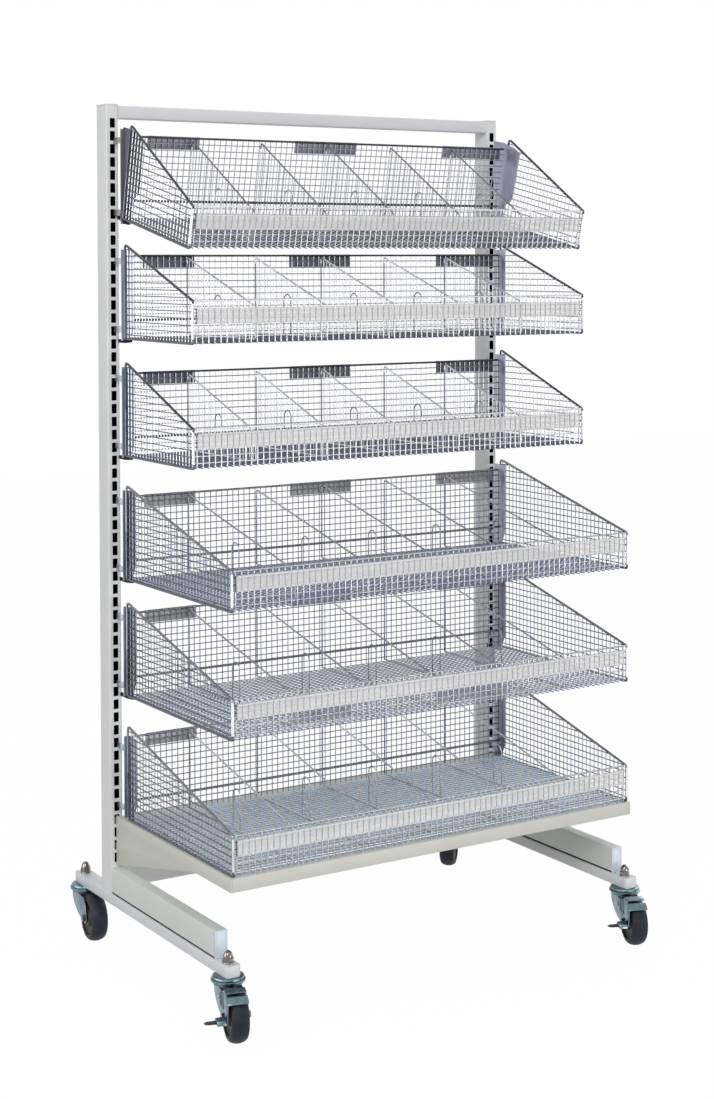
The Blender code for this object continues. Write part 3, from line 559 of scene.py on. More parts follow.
# Near black, as painted shadow: the strip under each leg and the bracket arms under the baskets' rear
# corners
shadow_black = finish("black_seat_strip", ((0.012, 0.012, 0.012), (0.02, 0.02, 0.02)), 90.0, (0.7, 0.85),
                    bump=0.1, shine=0.1)
rubber = finish("tyre_rubber_grey", ((0.010, 0.014, 0.020), (0.018, 0.022, 0.029)), 120.0, (0.45, 0.65),
                bump=0.25, shine=0.22)
hub_plastic = finish("hub_moulded_brown", ((0.035, 0.03, 0.021), (0.065, 0.055, 0.04)), 80.0, (0.45, 0.6),
                     bump=0.15, shine=0.25)
strip_face = finish("clear_strip_plastic", ((0.91, 0.90, 0.895), (0.95, 0.94, 0.935)), 24.0, (0.22, 0.36),
                    bump=0.06, alpha=0.38)
strip_back = finish("milky_strip_plastic", ((0.93, 0.92, 0.915), (0.96, 0.95, 0.945)), 24.0, (0.3, 0.45),
                    bump=0.06, alpha=0.68)

# Lit and shaded copies of one zinc, dark and light, with a roughness where it isn't the usual one: the
# darker tones are painted shade and the lighter ones painted light
WIRES = {"level": ((0.085, 0.09, 0.11), (0.15, 0.16, 0.19)),
         "zinc": ((0.20, 0.21, 0.25), (0.30, 0.315, 0.36)),
         "pale": ((0.33, 0.335, 0.375), (0.45, 0.46, 0.505)),
         "upright": ((0.36, 0.38, 0.42), (0.48, 0.50, 0.54)),
         "blue": ((0.22, 0.245, 0.30), (0.32, 0.35, 0.41)),
         "front": ((0.48, 0.50, 0.54), (0.62, 0.64, 0.68)),
         "white": ((0.64, 0.65, 0.68), (0.78, 0.79, 0.82)),
         "corner": ((0.55, 0.565, 0.60), (0.70, 0.715, 0.75)),
         "slope": ((0.045, 0.05, 0.06), (0.10, 0.105, 0.12), SLICK),
         "frame": ((0.17, 0.175, 0.195), (0.27, 0.275, 0.30), SLICK),
         "upper_floor": ((0.10, 0.115, 0.16), (0.18, 0.20, 0.26), DULL),
         "fourth_floor": ((0.18, 0.205, 0.29), (0.27, 0.30, 0.40), DULL),
         "floor": ((0.32, 0.36, 0.44), (0.43, 0.47, 0.56), DULL),
         "low_floor": ((0.68, 0.78, 0.92), (0.82, 0.92, 1.0), DULL)}
SHEETS = {"zinc": ((0.17, 0.175, 0.22), (0.25, 0.255, 0.31)),
          "shaded": ((0.075, 0.08, 0.10), (0.13, 0.135, 0.16)),
          "pale_flange": ((0.33, 0.37, 0.41), (0.44, 0.48, 0.52)),
          "warm_flange": ((0.24, 0.235, 0.225), (0.34, 0.33, 0.32)),
          "lilac": ((0.30, 0.30, 0.40), (0.375, 0.375, 0.48)),
          "pale_lilac": ((0.46, 0.46, 0.54), (0.56, 0.56, 0.64)),
          "blue": ((0.16, 0.18, 0.25), (0.24, 0.26, 0.34)),
          "middle_plate": ((0.24, 0.24, 0.30), (0.32, 0.32, 0.385)),
          "dark_plate": ((0.10, 0.11, 0.145), (0.17, 0.18, 0.225))}
zinc_wires = {name: wire_finish(name + "_wire", *tones) for name, tones in WIRES.items()}
zinc_sheets = {name: sheet_finish(name + "_zinc_sheet", *tones) for name, tones in SHEETS.items()}
zinc_sheets["dull_plate"] = lit_plate_zinc

# Tones by wire group and basket, from the top down, chosen so that each looks as in the photograph: lit and
# shaded copies of one zinc wire, as painted light and painted shade
TOP_TONES = {"frame": "slope", "corners": "corner", "front_rail": "white", "levels": "level",
             "uprights": "white", "front": "front", "back_uprights": "pale", "back_levels": "pale",
             "floor": "upper_floor", "slopes": "frame", "dividers": "white", "loops": "pale",
             "fills": "upright", "plates": "middle_plate"}
UPPER_TONES = dict(TOP_TONES, front="white", back_uprights="white", back_levels="zinc", slopes="corner",
                   dividers="frame", loops="frame", fills="white", plates="dark_plate")
DEEP_TONES = dict(TOP_TONES, frame="frame", front_rail="upright", uprights="blue", back_uprights="zinc",
                  back_levels="zinc", floor="floor", slopes="pale", dividers="zinc", loops="zinc",
                  plates="dull_plate")
FOURTH_TONES = dict(DEEP_TONES, floor="fourth_floor")
LOW_TONES = dict(DEEP_TONES, uprights="upright", floor="low_floor", slopes="front", loops="upright")
BASKET_TONES = (TOP_TONES, UPPER_TONES, UPPER_TONES, FOURTH_TONES, DEEP_TONES, LOW_TONES)
# The bracket plates' tones on either side, from the top down, chosen in the same way: lit and shaded copies
# of one zinc sheet, as painted light and painted shade
HANGER_TONES = {"left": ("shaded", "pale_lilac", "blue", "shaded", "shaded", "blue"),
                "right": ("lilac", "lilac", "lilac", "lilac", "zinc", "zinc")}


def piece(name, mesh, finishes, body, nodes=()):
    """Places a mesh on a body, with its finishes and the nodes it stands for."""
    item = linked(name, mesh)
    for index, made in enumerate(finishes):
        if index < len(mesh.materials):
            mesh.materials[index] = made
        else:
            mesh.materials.append(made)
    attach(item, body)
    if nodes:
        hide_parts(*nodes)


# Tubes: uprights, legs and beams

def rounded_section(width, depth, radius, steps=3):
    """A rounded rectangle about the origin."""
    section = []
    for x, y, start in ((1, 1, 0), (-1, 1, 90), (-1, -1, 180), (1, -1, 270)):
        centre = (x * (width / 2 - radius), y * (depth / 2 - radius))
        section += arc(centre, radius, math.radians(start), math.radians(start + 90), steps)
    return section


def skin(bm, here, there, index):
    """Faces between two closed loops of corners, with one material index."""
    count = len(here)
    for j in range(count):
        n = (j + 1) % count
        face = bm.faces.new((here[j], here[n], there[n], there[j]))
        face.material_index = index


def tube(node, axis, raised=0.0):
    """A square tube in a node's box, open at both ends; its inside has material index 1, the bare steel
    painted near black as shade.
    """
    low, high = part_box(node)
    low.z += raised
    size = high - low
    first, second = [i for i in range(3) if i != axis]
    width = size[first]
    depth = size[second]
    outer = rounded_section(width, depth, TUBE_RADIUS)
    inner = rounded_section(width - 2 * TUBE_WALL, depth - 2 * TUBE_WALL, TUBE_RADIUS - TUBE_WALL / 2)
    middle = (low + high) / 2
    bm = bmesh.new()
    loops = []
    for section, end in ((outer, low[axis]), (outer, high[axis]), (inner, high[axis]), (inner, low[axis])):
        loop = []
        for u, v in section:
            point = middle.copy()
            point[first] += u
            point[second] += v
            point[axis] = end
            loop.append(bm.verts.new(point))
        loops.append(loop)
    for k, index in enumerate((0, 0, 1, 0)):
        skin(bm, loops[k], loops[(k + 1) % 4], index)
    return shaded(mesh_from(bm, node))


def slot_cutters(node, leg_top):
    """A column of slot-shaped prisms through an upright's front wall."""
    low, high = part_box(node)
    middle = (low.x + high.x) / 2
    section = rounded_section(SLOT_WIDTH, SLOT_HEIGHT, SLOT_CORNER, 2)
    bm = bmesh.new()
    for index in range(SLOT_COUNT):
        height = leg_top + SLOT_ABOVE_LEG + SLOT_PITCH * index + SLOT_HEIGHT / 2
        rings = []
        for y in (low.y - TUBE_WALL, low.y + 2 * TUBE_WALL):
            rings.append([bm.verts.new((middle + u, y, height + v)) for u, v in section])
        # The cut walls take index 1, the near-black inside finish, as painted shade in the slots
        skin(bm, *rings, 1)
        for ring in rings:
            bm.faces.new(ring).material_index = 1
    return mesh_from(bm, "slots")


def cut(mesh, cutter, finishes=()):
    """A mesh less another; both are given the finishes, so that cut faces keep their material index."""
    for made in finishes:
        mesh.materials.append(made)
        cutter.materials.append(made)
    tool = linked("cutter", cutter)

    def modify(helper):
        step = helper.modifiers.new("cut", "BOOLEAN")
        step.operation = "DIFFERENCE"
        step.solver = "EXACT"
        step.object = tool

    result = evaluated(mesh, mesh.name, modify)
    bpy.data.objects.remove(tool, do_unlink=True)
    return shaded(result)


def build_leg(leg):
    """A leg's tube on a black strip that is painted shadow of the gap between leg and bar."""
    piece(leg + "_tube", tube(leg, 1, GAP_SHADOW_HEIGHT), (shaded_leg_paint, bare_shaded_steel), "frame", [leg])
    low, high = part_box(leg)
    gap_shadow = block((low.x + GAP_SHADOW_INSET, low.y, low.z), (high.x - GAP_SHADOW_INSET, high.y, low.z + GAP_SHADOW_HEIGHT))
    piece(leg + "_seat", gap_shadow, (shadow_black,), "frame")


def build_plug(leg):
    """A leg's end plug with a raised panel, lighter than the plug as painted highlight."""
    plug = leg + "_end_cap"
    low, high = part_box(plug)
    panel = block((low.x + PLUG_RIM, low.y - PLUG_PANEL, low.z + PLUG_RIM),
                  (high.x - PLUG_RIM, low.y + PLUG_PANEL, high.z - PLUG_RIM), PLUG_PANEL)
    piece(leg + "_plug", softened(plug, PLUG_EDGE, 3), (cap_plastic,), "frame", [plug])
    piece(leg + "_plug_panel", panel, (cap_panel_highlight,), "frame")


def build_frame():
    leg_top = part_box("left_leg")[1].z
    for side in ("left", "right"):
        upright = side + "_upright"
        mesh = cut(tube(upright, 2), slot_cutters(upright, leg_top), (ivory, bare_shaded_steel))
        piece(upright + "_tube", mesh, (ivory, bare_shaded_steel), "frame", [upright])
        build_leg(side + "_leg")
        cap = upright + "_cap"
        piece(upright + "_top", softened(cap, CAP_EDGE), (ivory,), "frame", [cap])
        build_plug(side + "_leg")
        bar = side + "_caster_bar"
        piece(side + "_bar_channel", softened(bar, BAR_EDGE), (bar_paint,), "frame", [bar])
        arm = side + "_shelf_bracket"
        piece(side + "_shelf_arm", softened(arm), (shaded_shelf_paint,), "frame", [arm])
    for name, node, coat in (("top_beam_tube", "top_beam", lit_beam_paint),
                             ("rear_beam_tube", "rear_cross_beam", ivory)):
        piece(name, tube(node, 0), (coat, bare_shaded_steel), "frame", [node])
    piece("base_shelf_tray", softened("base_shelf"), (shaded_shelf_paint,), "frame", ["base_shelf"])


# Baskets, in their own frame: the origin at the middle of the outer back bottom edge, front towards -Y

class Basket:
    """A basket's sizes, and where the middles of its outer wires lie."""

    def __init__(self, number, width, depth, rise):
        self.filled = number <= LAST_FILLED
        self.depth = depth
        self.rise = rise
        self.front_rise = TALL_FRONT_RISE if number <= LAST_TALL else FRONT_RISE
        self.half = width / 2 - OUTER
        self.short = width / 2 - (TILT_TRIM if number == 1 else SIDE_TRIM)
        self.front = OUTER - depth


def steps_between(low, high):
    """Places at the mesh's pitch between two ends, with equal margins."""
    count = int((high - low) / MESH_PITCH)
    start = (low + high - (count - 1) * MESH_PITCH) / 2
    return [start + MESH_PITCH * i for i in range(count)]


def across(half, y, z, wire=MESH_WIRE):
    """A straight wire along X."""
    return [(-half, y, z), (half, y, z)], wire


def frame_runs(basket):
    """The thick wires: both sides' sloping tops, the back rail and the stiffener."""
    front = basket.front
    top = basket.front_rise - OUTER
    runs = []
    for x in (-basket.half, basket.half):
        corners = [(x, -OUTER, basket.rise / 2), (x, -OUTER, basket.rise - OUTER), (x, front, top),
                   (x, front, top - POST_START)]
        runs.append((bent(corners, (0, TOP_BEND, FRONT_BEND, 0), steps=5), FRAME_WIRE))
    runs.append(across(basket.short, -OUTER, BACK_RISE - RAIL_WIRE / 2, RAIL_WIRE))
    runs.append(across(basket.short, -FRAME_WIRE - STIFF_WIRE / 2, STIFFENER_RISE, STIFF_WIRE))
    return runs


def corner_runs(basket):
    """The upright ends of the side loops at the front."""
    front = basket.front
    bottom = OUTER + 2 * FLOOR_BEND
    top = basket.front_rise - OUTER - POST_START
    return [([(x, front, bottom), (x, front, top)], FRAME_WIRE) for x in (-basket.half, basket.half)]


def front_runs(basket, strip):
    """The front's wires: those in sight, and those behind the price strip's two heights."""
    front = basket.front
    bottom, top = strip
    clear = []
    covered = []
    for x in steps_between(-basket.half, basket.half):
        path = [(x, front + FLOOR_BEND, OUTER), (x, front, OUTER), (x, front, bottom)]
        clear.append((bent(path, FLOOR_BEND, steps=2), MESH_WIRE))
        covered.append(([(x, front, bottom), (x, front, top)], MESH_WIRE))
        clear.append(([(x, front, top), (x, front, basket.front_rise - OUTER)], MESH_WIRE))
    for z in steps_between(OUTER, basket.front_rise - FRAME_WIRE):
        group = covered if bottom < z < top else clear
        group.append(across(basket.half, front + MESH_WIRE, z))
    return clear, covered


def side_upright_runs(basket):
    """The upright wires of the sides, up to their sloping tops."""
    inner = basket.half - MESH_WIRE
    slope = (basket.front_rise - basket.rise) / basket.depth
    return [([(x, y, OUTER), (x, y, basket.rise - slope * y - OUTER)], MESH_WIRE)
            for x in (-inner, inner) for y in steps_between(basket.front, -OUTER)]


def side_level_runs(basket):
    """The sides' level wires and bottoms."""
    front = basket.front
    rise = basket.rise
    runs = []
    for x in (-basket.half, basket.half):
        for z in steps_between(OUTER, rise - FRAME_WIRE):
            reach = front
            if z > basket.front_rise - FRAME_WIRE:
                reach = -basket.depth * (rise - z - FRAME_WIRE) / (rise - basket.front_rise)
            if reach < -2 * FRAME_WIRE:
                runs.append(([(x, -OUTER, z), (x, reach, z)], MESH_WIRE))
        corners = [(x, -OUTER, rise / 2), (x, -OUTER, OUTER), (x, front, OUTER),
                   (x, front, OUTER + 2 * FLOOR_BEND)]
        runs.append((bent(corners, FLOOR_BEND, steps=5), FRAME_WIRE))
    return runs


def back_runs(basket):
    """The back's upright wires and its level ones, which stop short of the brackets."""
    top = BACK_RISE - RAIL_WIRE / 2
    uprights = []
    for x in steps_between(-basket.half, basket.half):
        if abs(x) < basket.short:
            path = [(x, -OUTER, top), (x, -OUTER, OUTER), (x, -OUTER - FLOOR_BEND, OUTER)]
            uprights.append((bent(path, FLOOR_BEND, steps=2), MESH_WIRE))
    heights = steps_between(OUTER, BACK_RISE - RAIL_WIRE)
    return uprights, [across(basket.short, -OUTER - MESH_WIRE, z) for z in heights]


def floor_runs(basket):
    """The floor's welded mesh."""
    runs = []
    for x in steps_between(-basket.half, basket.half):
        rear = -OUTER if abs(x) < basket.short else -REAR_TRIM
        runs.append(([(x, rear, OUTER), (x, basket.front, OUTER)], MESH_WIRE))
    for y in steps_between(basket.front, -OUTER):
        reach = basket.half if y < -REAR_TRIM else basket.short
        runs.append(across(reach, y, OUTER + MESH_WIRE))
    return runs


def divider_runs(basket):
    """Each divider's sloping frame, rear upright and fine fill, and the loop that stands on the floor."""
    back = -DIVIDER_BACK_GAP
    front = DIVIDER_FRONT_GAP - basket.depth
    floor = DIVIDER_FLOOR_GAP
    top = BACK_RISE - DIVIDER_BELOW_RAIL
    nose = basket.front_rise - DIVIDER_BELOW_FRONT
    below = top - 2 * FRONT_BEND
    middle = -LOOP_PLACE * basket.depth
    radius = LOOP_WIDTH / 2
    bow = arc((middle, LOOP_RISE - radius), radius, 0, math.pi, 8)
    groups = {"slopes": [], "dividers": [], "loops": [], "fills": []}
    for i in range(DIVIDERS):
        x = DIVIDER_SHIFT + (i - (DIVIDERS - 1) / 2) * DIVIDER_PITCH
        corners = [(x, back, below), (x, back, top), (x, front, nose), (x, front, floor), (x, back, floor)]
        groups["slopes"].append((bent(corners, FRONT_BEND), DIVIDER_WIRE))
        groups["dividers"].append(([(x, back, floor), (x, back, below)], DIVIDER_WIRE))
        for y in steps_between(front, back) if basket.filled else ():
            height = top + (nose - top) * (y - back) / (front - back)
            groups["fills"].append(([(x, y, floor), (x, y, height)], DIVIDER_FILL_WIRE))
        loop = [(middle + radius, floor)] + bow + [(middle - radius, floor)]
        groups["loops"].append(([(x, y, z) for y, z in loop], LOOP_WIRE))
    return groups


def back_plates():
    """The plates that hang on the back rail."""
    meshes = []
    for left, right in BACK_PLATES:
        low = (left, 0.0, BACK_RISE - BACK_PLATE_HEIGHT)
        high = (right, BACK_PLATE_SHEET, BACK_RISE)
        meshes.append(block(low, high, BACK_PLATE_SHEET / 3))
    return merged("back_plates", meshes)


def strip_mesh(low, high):
    """A price strip's section, with two lips and its back among the front wires, run along X."""
    back = high.y + STRIP_GRIP
    face = high.y - STRIP_SHEET
    lip = low.y
    inside = lip + STRIP_SHEET
    bottom = low.z
    top = high.z
    section = [(back, bottom), (back, top), (lip, top), (lip, top - STRIP_LIP), (inside, top - STRIP_LIP),
               (inside, top - STRIP_SHEET), (face, top - STRIP_SHEET), (face, bottom + STRIP_BEAD),
               (inside, bottom + STRIP_BEAD), (inside, bottom + STRIP_LIP), (lip, bottom + STRIP_LIP),
               (lip, bottom)]
    mesh = plate(section, high.x - low.x, STRIP_SHEET / 4)
    for side in mesh.polygons:
        side.material_index = 1 if side.normal.y > STRIP_BACKWARD else 0
    return shifted(mesh, (low.x + high.x) / 2)


def basket_runs(basket, strip):
    """A basket's wires by group."""
    clear, covered = front_runs(basket, strip)
    back_uprights, back_levels = back_runs(basket)
    rail = across(basket.half - OUTER, basket.front, basket.front_rise - OUTER, FRONT_WIRE)
    # The front's wires behind the price strip join the level wires and take their dark tone, as painted
    # shade behind the strip
    groups = {"frame": frame_runs(basket), "corners": corner_runs(basket),
              "levels": side_level_runs(basket) + covered, "uprights": side_upright_runs(basket),
              "front": clear, "back_uprights": back_uprights, "back_levels": back_levels,
              "floor": floor_runs(basket), "front_rail": [rail]}
    groups.update(divider_runs(basket))
    return {part: runs for part, runs in groups.items() if runs}


def build_baskets():
    level_low, level_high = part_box("basket_2")
    width = level_high.x - level_low.x
    rise = level_high.z - level_low.z
    middle = (level_low.x + level_high.x) / 2
    level_place = Matrix.Translation((middle, level_high.y, level_low.z))
    strip_low, strip_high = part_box("price_strip_2")
    covered = (strip_low.z - level_low.z, strip_high.z - level_low.z)
    plates = back_plates()
    hinge = joints["basket_tilt"]["pos_m"]
    for number, tones in enumerate(BASKET_TONES, 1):
        name = "basket_%d" % number
        strip = "price_strip_%d" % number
        if number == 1:
            body = "tilt_basket"
            depth = level_high.y - level_low.y
            place = Matrix.Translation(hinge) @ Matrix.Rotation(TILT, 4, "X")
            place = place @ Matrix.Translation((0, TILT_CORNER, -TILT_CORNER))
            rail = moved(strip_mesh(strip_low, strip_high), place @ level_place.inverted())
        else:
            body = "frame"
            low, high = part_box(name)
            depth = high.y - low.y
            place = Matrix.Translation((middle, high.y, low.z))
            rail = strip_mesh(*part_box(strip))
        for part, runs in basket_runs(Basket(number, width, depth, rise), covered).items():
            nodes = [name] if part == "frame" else ()
            # Each group takes its lit or shaded tone of the zinc wire, as painted light and shade
            mesh = moved(wires(part, runs), place)
            piece(name + "_" + part, mesh, (zinc_wires[tones[part]],), body, nodes)
        # The back plates take a lit or shaded tone by basket, as painted light and shade
        coat = zinc_sheets[tones["plates"]]
        piece(name + "_back_plates", moved(plates, place), (coat,), body)
        piece(strip + "_rail", rail, (strip_face, strip_back), body, [strip])


# Brackets

def rib(x, y, bottom, top, width):
    """A pressed rib on both faces of a bracket's plate."""
    reach = BRACKET_SHEET / 2 + RIB_RISE
    return block((x - reach, y - width / 2, bottom), (x + reach, y + width / 2, top), RIB_EDGE)


def flange(x, outward, bottom, top, face):
    """The plate's edge turned outwards, with two tabs that reach back to the upright's slots."""
    y = face - BRACKET_REAR
    edge = x + outward * FLANGE_WIDTH
    meshes = [block((min(x, edge), y - FLANGE_SHEET, bottom), (max(x, edge), y, top))]
    low = edge - FLANGE_SHEET
    for height in (bottom + TAB_MARGIN, top - TAB_MARGIN - TAB_HEIGHT):
        tab = block((low, y - FLANGE_SHEET / 2, height), (low + FLANGE_SHEET, face, height + TAB_HEIGHT))
        meshes.append(tab)
    return merged("flange", meshes)


def level_bracket(node, x, face):
    """A bracket inside a level basket's side: a ribbed plate."""
    low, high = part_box(node)
    heel = low.z + BRACKET_HEEL_RISE
    outline = [(face - BRACKET_REAR, low.z), (face - BRACKET_REAR, high.z), (face - BRACKET_FRONT, high.z),
               (face - BRACKET_FRONT, heel), (face - BRACKET_HEEL, low.z)]
    meshes = [shifted(plate(outline, BRACKET_SHEET, BRACKET_SHEET / 4), x)]
    for place in RIB_PLACES:
        meshes.append(rib(x, face + place, heel, high.z - RIB_MARGIN, RIB_WIDTH))
    return merged(node, meshes)


def fan_bracket(node, x, outward, face, pivot_height):
    """The tilting basket's bracket: the node's notched fan without its pin, with folds and holes."""
    bm = bmesh.new()
    bm.from_mesh(frame["nodes"][node].data)
    rear = face - BRACKET_REAR
    keep = x + outward * (BRACKET_INSET - BRACKET_SHEET - BRACKET_GAP)
    for place, away in (((keep, 0, 0), (-outward, 0, 0)), ((0, rear, 0), (0, 1, 0))):
        parts = bm.verts[:] + bm.edges[:] + bm.faces[:]
        bmesh.ops.bisect_plane(bm, geom=parts, plane_co=place, plane_no=away, clear_outer=True, dist=WELD)
    bmesh.ops.holes_fill(bm, edges=bm.edges)
    for vert in bm.verts:
        vert.co.x -= outward * BRACKET_INSET
        vert.co.y = rear + (vert.co.y - rear) * FAN_STRETCH
    mesh = rounded(mesh_from(bm, node), BRACKET_SHEET / 4)
    tool = lying(drum(FAN_HOLE_RADIUS, -FAN_HOLE_REACH, FAN_HOLE_REACH, 16))
    for y, rise in FAN_HOLES:
        mesh = cut(mesh, moved(tool, Matrix.Translation((x, face + y, pivot_height + rise))))
    meshes = [mesh]
    for y, bottom, top in FAN_FOLDS:
        meshes.append(rib(x, face + y, pivot_height + bottom, pivot_height + top, FAN_FOLD_WIDTH))
    return merged(node, meshes)


def bracket_arm(x, face, rise, outline):
    """The arm from an upright's slot under a basket's rear corner, black as painted shade."""
    return shifted(plate([(face - y, rise + z) for y, z in outline], ARM_SHEET, ARM_SHEET / 5), x)


def build_brackets():
    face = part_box("left_upright")[0].y
    pivot_height = joints["basket_tilt"]["pos_m"][2]
    for number in range(1, BASKETS + 1):
        for side, outward in (("left", -1), ("right", 1)):
            name = "basket_%d_%s" % (number, side)
            node = name + "_bracket"
            low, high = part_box(node)
            edge = high.x if outward > 0 else low.x
            x = edge - outward * (BRACKET_SHEET / 2 + BRACKET_INSET)
            if number == 1:
                mesh = fan_bracket(node, x, outward, face, pivot_height)
                top = high.z - FAN_FLANGE_DROP
                edging = "warm_flange"
                arm = bracket_arm(x, face, low.z, HOOK_OUTLINE)
            else:
                mesh = level_bracket(node, x, face)
                top = high.z
                edging = "pale_flange"
                arm = bracket_arm(x, face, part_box("basket_%d" % number)[0].z, ARM_OUTLINE)
            # Each plate takes a lit or shaded tone by side and basket, and its flange a lit one, as painted
            # light and shade
            coat = zinc_sheets[HANGER_TONES[side][number - 1]]
            piece(name + "_hanger", mesh, (coat,), "frame", [node])
            lip = flange(x, outward, low.z, top, face)
            piece(name + "_flange", lip, (zinc_sheets[edging],), "frame")
            if number < BASKETS:
                piece(name + "_arm", arm, (shadow_black,), "frame")


# Casters, in their own frame: the origin on the floor under the stem, the wheel trailing towards -Y

def race_cap():
    """The two pressed layers of the swivel race."""
    middle = (RACE_TOP + RACE_BOTTOM) / 2
    profile = [(STUD_RADIUS, RACE_TOP), (RACE_UPPER - RACE_ROUND, RACE_TOP),
               (RACE_UPPER - RACE_CORNER, RACE_TOP - RACE_CORNER), (RACE_UPPER, RACE_TOP - RACE_ROUND),
               (RACE_UPPER, middle + RACE_SEAM[0]), (RACE_UPPER - RACE_CORNER, middle),
               (RACE_RADIUS - RACE_LIP, middle + RACE_SEAM[1]), (RACE_RADIUS, middle + RACE_SEAM[2]),
               (RACE_RADIUS, RACE_BOTTOM + RACE_HEM[0]), (RACE_RADIUS - RACE_LIP, RACE_BOTTOM + RACE_HEM[1]),
               (RACE_RADIUS - RACE_ROUND, RACE_BOTTOM), (STUD_RADIUS, RACE_BOTTOM)]
    return turned(profile, closed=True)


def acorn_nut():
    """A domed nut on a hexagonal skirt with a flange."""
    skirt_top = NUT_BOTTOM + NUT_SKIRT
    flange_top = NUT_BOTTOM + NUT_FLANGE
    angles = [math.radians(angle) for angle in range(90, -1, -DOME_STEP)]
    dome = [(DOME_RADIUS * math.cos(angle), skirt_top + (NUT_HEIGHT - NUT_SKIRT) * math.sin(angle))
            for angle in angles]
    cap = turned(dome + [(0, skirt_top)])
    skirt = turned([(0, skirt_top + NUT_OVERLAP), (DOME_RADIUS, skirt_top + NUT_OVERLAP),
                    (NUT_RADIUS, skirt_top - NUT_CHAMFER), (NUT_RADIUS, flange_top), (0, flange_top)],
                   HEX_SIDES)
    foot = turned([(0, flange_top), (NUT_RADIUS - EDGE, flange_top),
                   (NUT_RADIUS, NUT_BOTTOM + NUT_FLANGE / 2), (NUT_RADIUS, NUT_BOTTOM), (0, NUT_BOTTOM)])
    return merged("nut", [cap, shaded(skirt, HEX_ANGLE), foot])


def fork_mesh():
    """A pressed fork: the crown's ring, two broad arms that taper to the axle and a wall between them."""
    bottom = CROWN_TOP - CROWN_THICKNESS
    bore = STUD_RADIUS + SWIVEL_FIT
    ring = [(bore, CROWN_TOP), (CROWN_RADIUS - CROWN_EDGE, CROWN_TOP),
            (CROWN_RADIUS, CROWN_TOP - CROWN_EDGE), (CROWN_RADIUS, bottom + CROWN_UNDER_EDGE),
            (CROWN_RADIUS - CROWN_UNDER_EDGE, bottom), (bore, bottom)]
    axle = (-TRAIL, WHEEL_RADIUS)
    start = (FORK_LEAD[0][0], bottom)
    outline = [(-FORK_NOSE, bottom), start, *FORK_LEAD]
    outline += arc(axle, FORK_BOSS, FORK_BOSS_START, FORK_BOSS_STOP, 10) + FORK_TAIL
    arm = plate(outline, FORK_SHEET, FORK_EDGE, [arc(axle, AXLE_HOLE, 0, 2 * math.pi, 24)[:-1]])
    offset = FORK_GAP / 2 + FORK_SHEET / 2
    wall = [start, *FORK_LEAD[:FORK_WALL_POINTS]]
    wall += [(y - FORK_SHEET, z) for y, z in reversed(wall)]
    return merged("fork", [turned(ring, closed=True), shifted(arm, -offset), shifted(arm, offset),
                           plate(wall, FORK_GAP, THIN_EDGE)])


def tyre_mesh():
    """The tyre: a rounded crown, soft shoulders and a flat side down to the rim."""
    edge = math.asin(TYRE_CROWN_HALF / TYRE_CROWN)
    crown = arc((WHEEL_RADIUS - TYRE_CROWN, 0), TYRE_CROWN, 0, edge, 5)
    start = Vector(crown[-1])
    stop = Vector((WHEEL_RADIUS - TYRE_SHOULDER, WHEEL_HALF))
    corner = Vector((WHEEL_RADIUS - TYRE_SHOULDER * TYRE_SHOULDER_PULL, WHEEL_HALF - EDGE))
    shoulder = [tuple(eased(start, corner, stop, t)) for t in (0.25, 0.5, 0.75, 1)]
    half = crown + shoulder + [(RIM_RADIUS + RIM_EDGE, WHEEL_HALF), (RIM_RADIUS, WHEEL_HALF - RIM_EDGE)]
    profile = [(radius, -x) for radius, x in reversed(half[1:])] + half
    return lying(turned(profile, WHEEL_STEPS, True))


def hub_mesh():
    """The wheel's centre: a rim, a dished disc and a boss with a bore."""
    profile = [*HUB_HALF] + [(radius, -x) for radius, x in reversed(HUB_HALF)]
    return lying(turned(profile, WHEEL_STEPS, True))


def axle_mesh():
    """A bolt with hexagonal head and nut, on washers."""
    inner = FORK_GAP / 2 + FORK_SHEET + AXLE_CLEARANCE
    washer_top = inner + WASHER
    outer = inner + AXLE_HEAD_LENGTH
    meshes = [drum(AXLE_RADIUS, inner, -inner, 24)]
    for side in (-1, 1):
        meshes.append(drum(AXLE_HEAD, side * inner, side * washer_top, 32))
        half = [(0, washer_top), (HEX_RADIUS, washer_top), (HEX_RADIUS, outer - HEX_CHAMFER),
                (HEX_TOP_RADIUS, outer), (0, outer)]
        head = turned([(radius, side * x) for radius, x in half], HEX_SIDES)
        meshes.append(shaded(head, HEX_ANGLE))
    return lying(merged("axle", meshes))


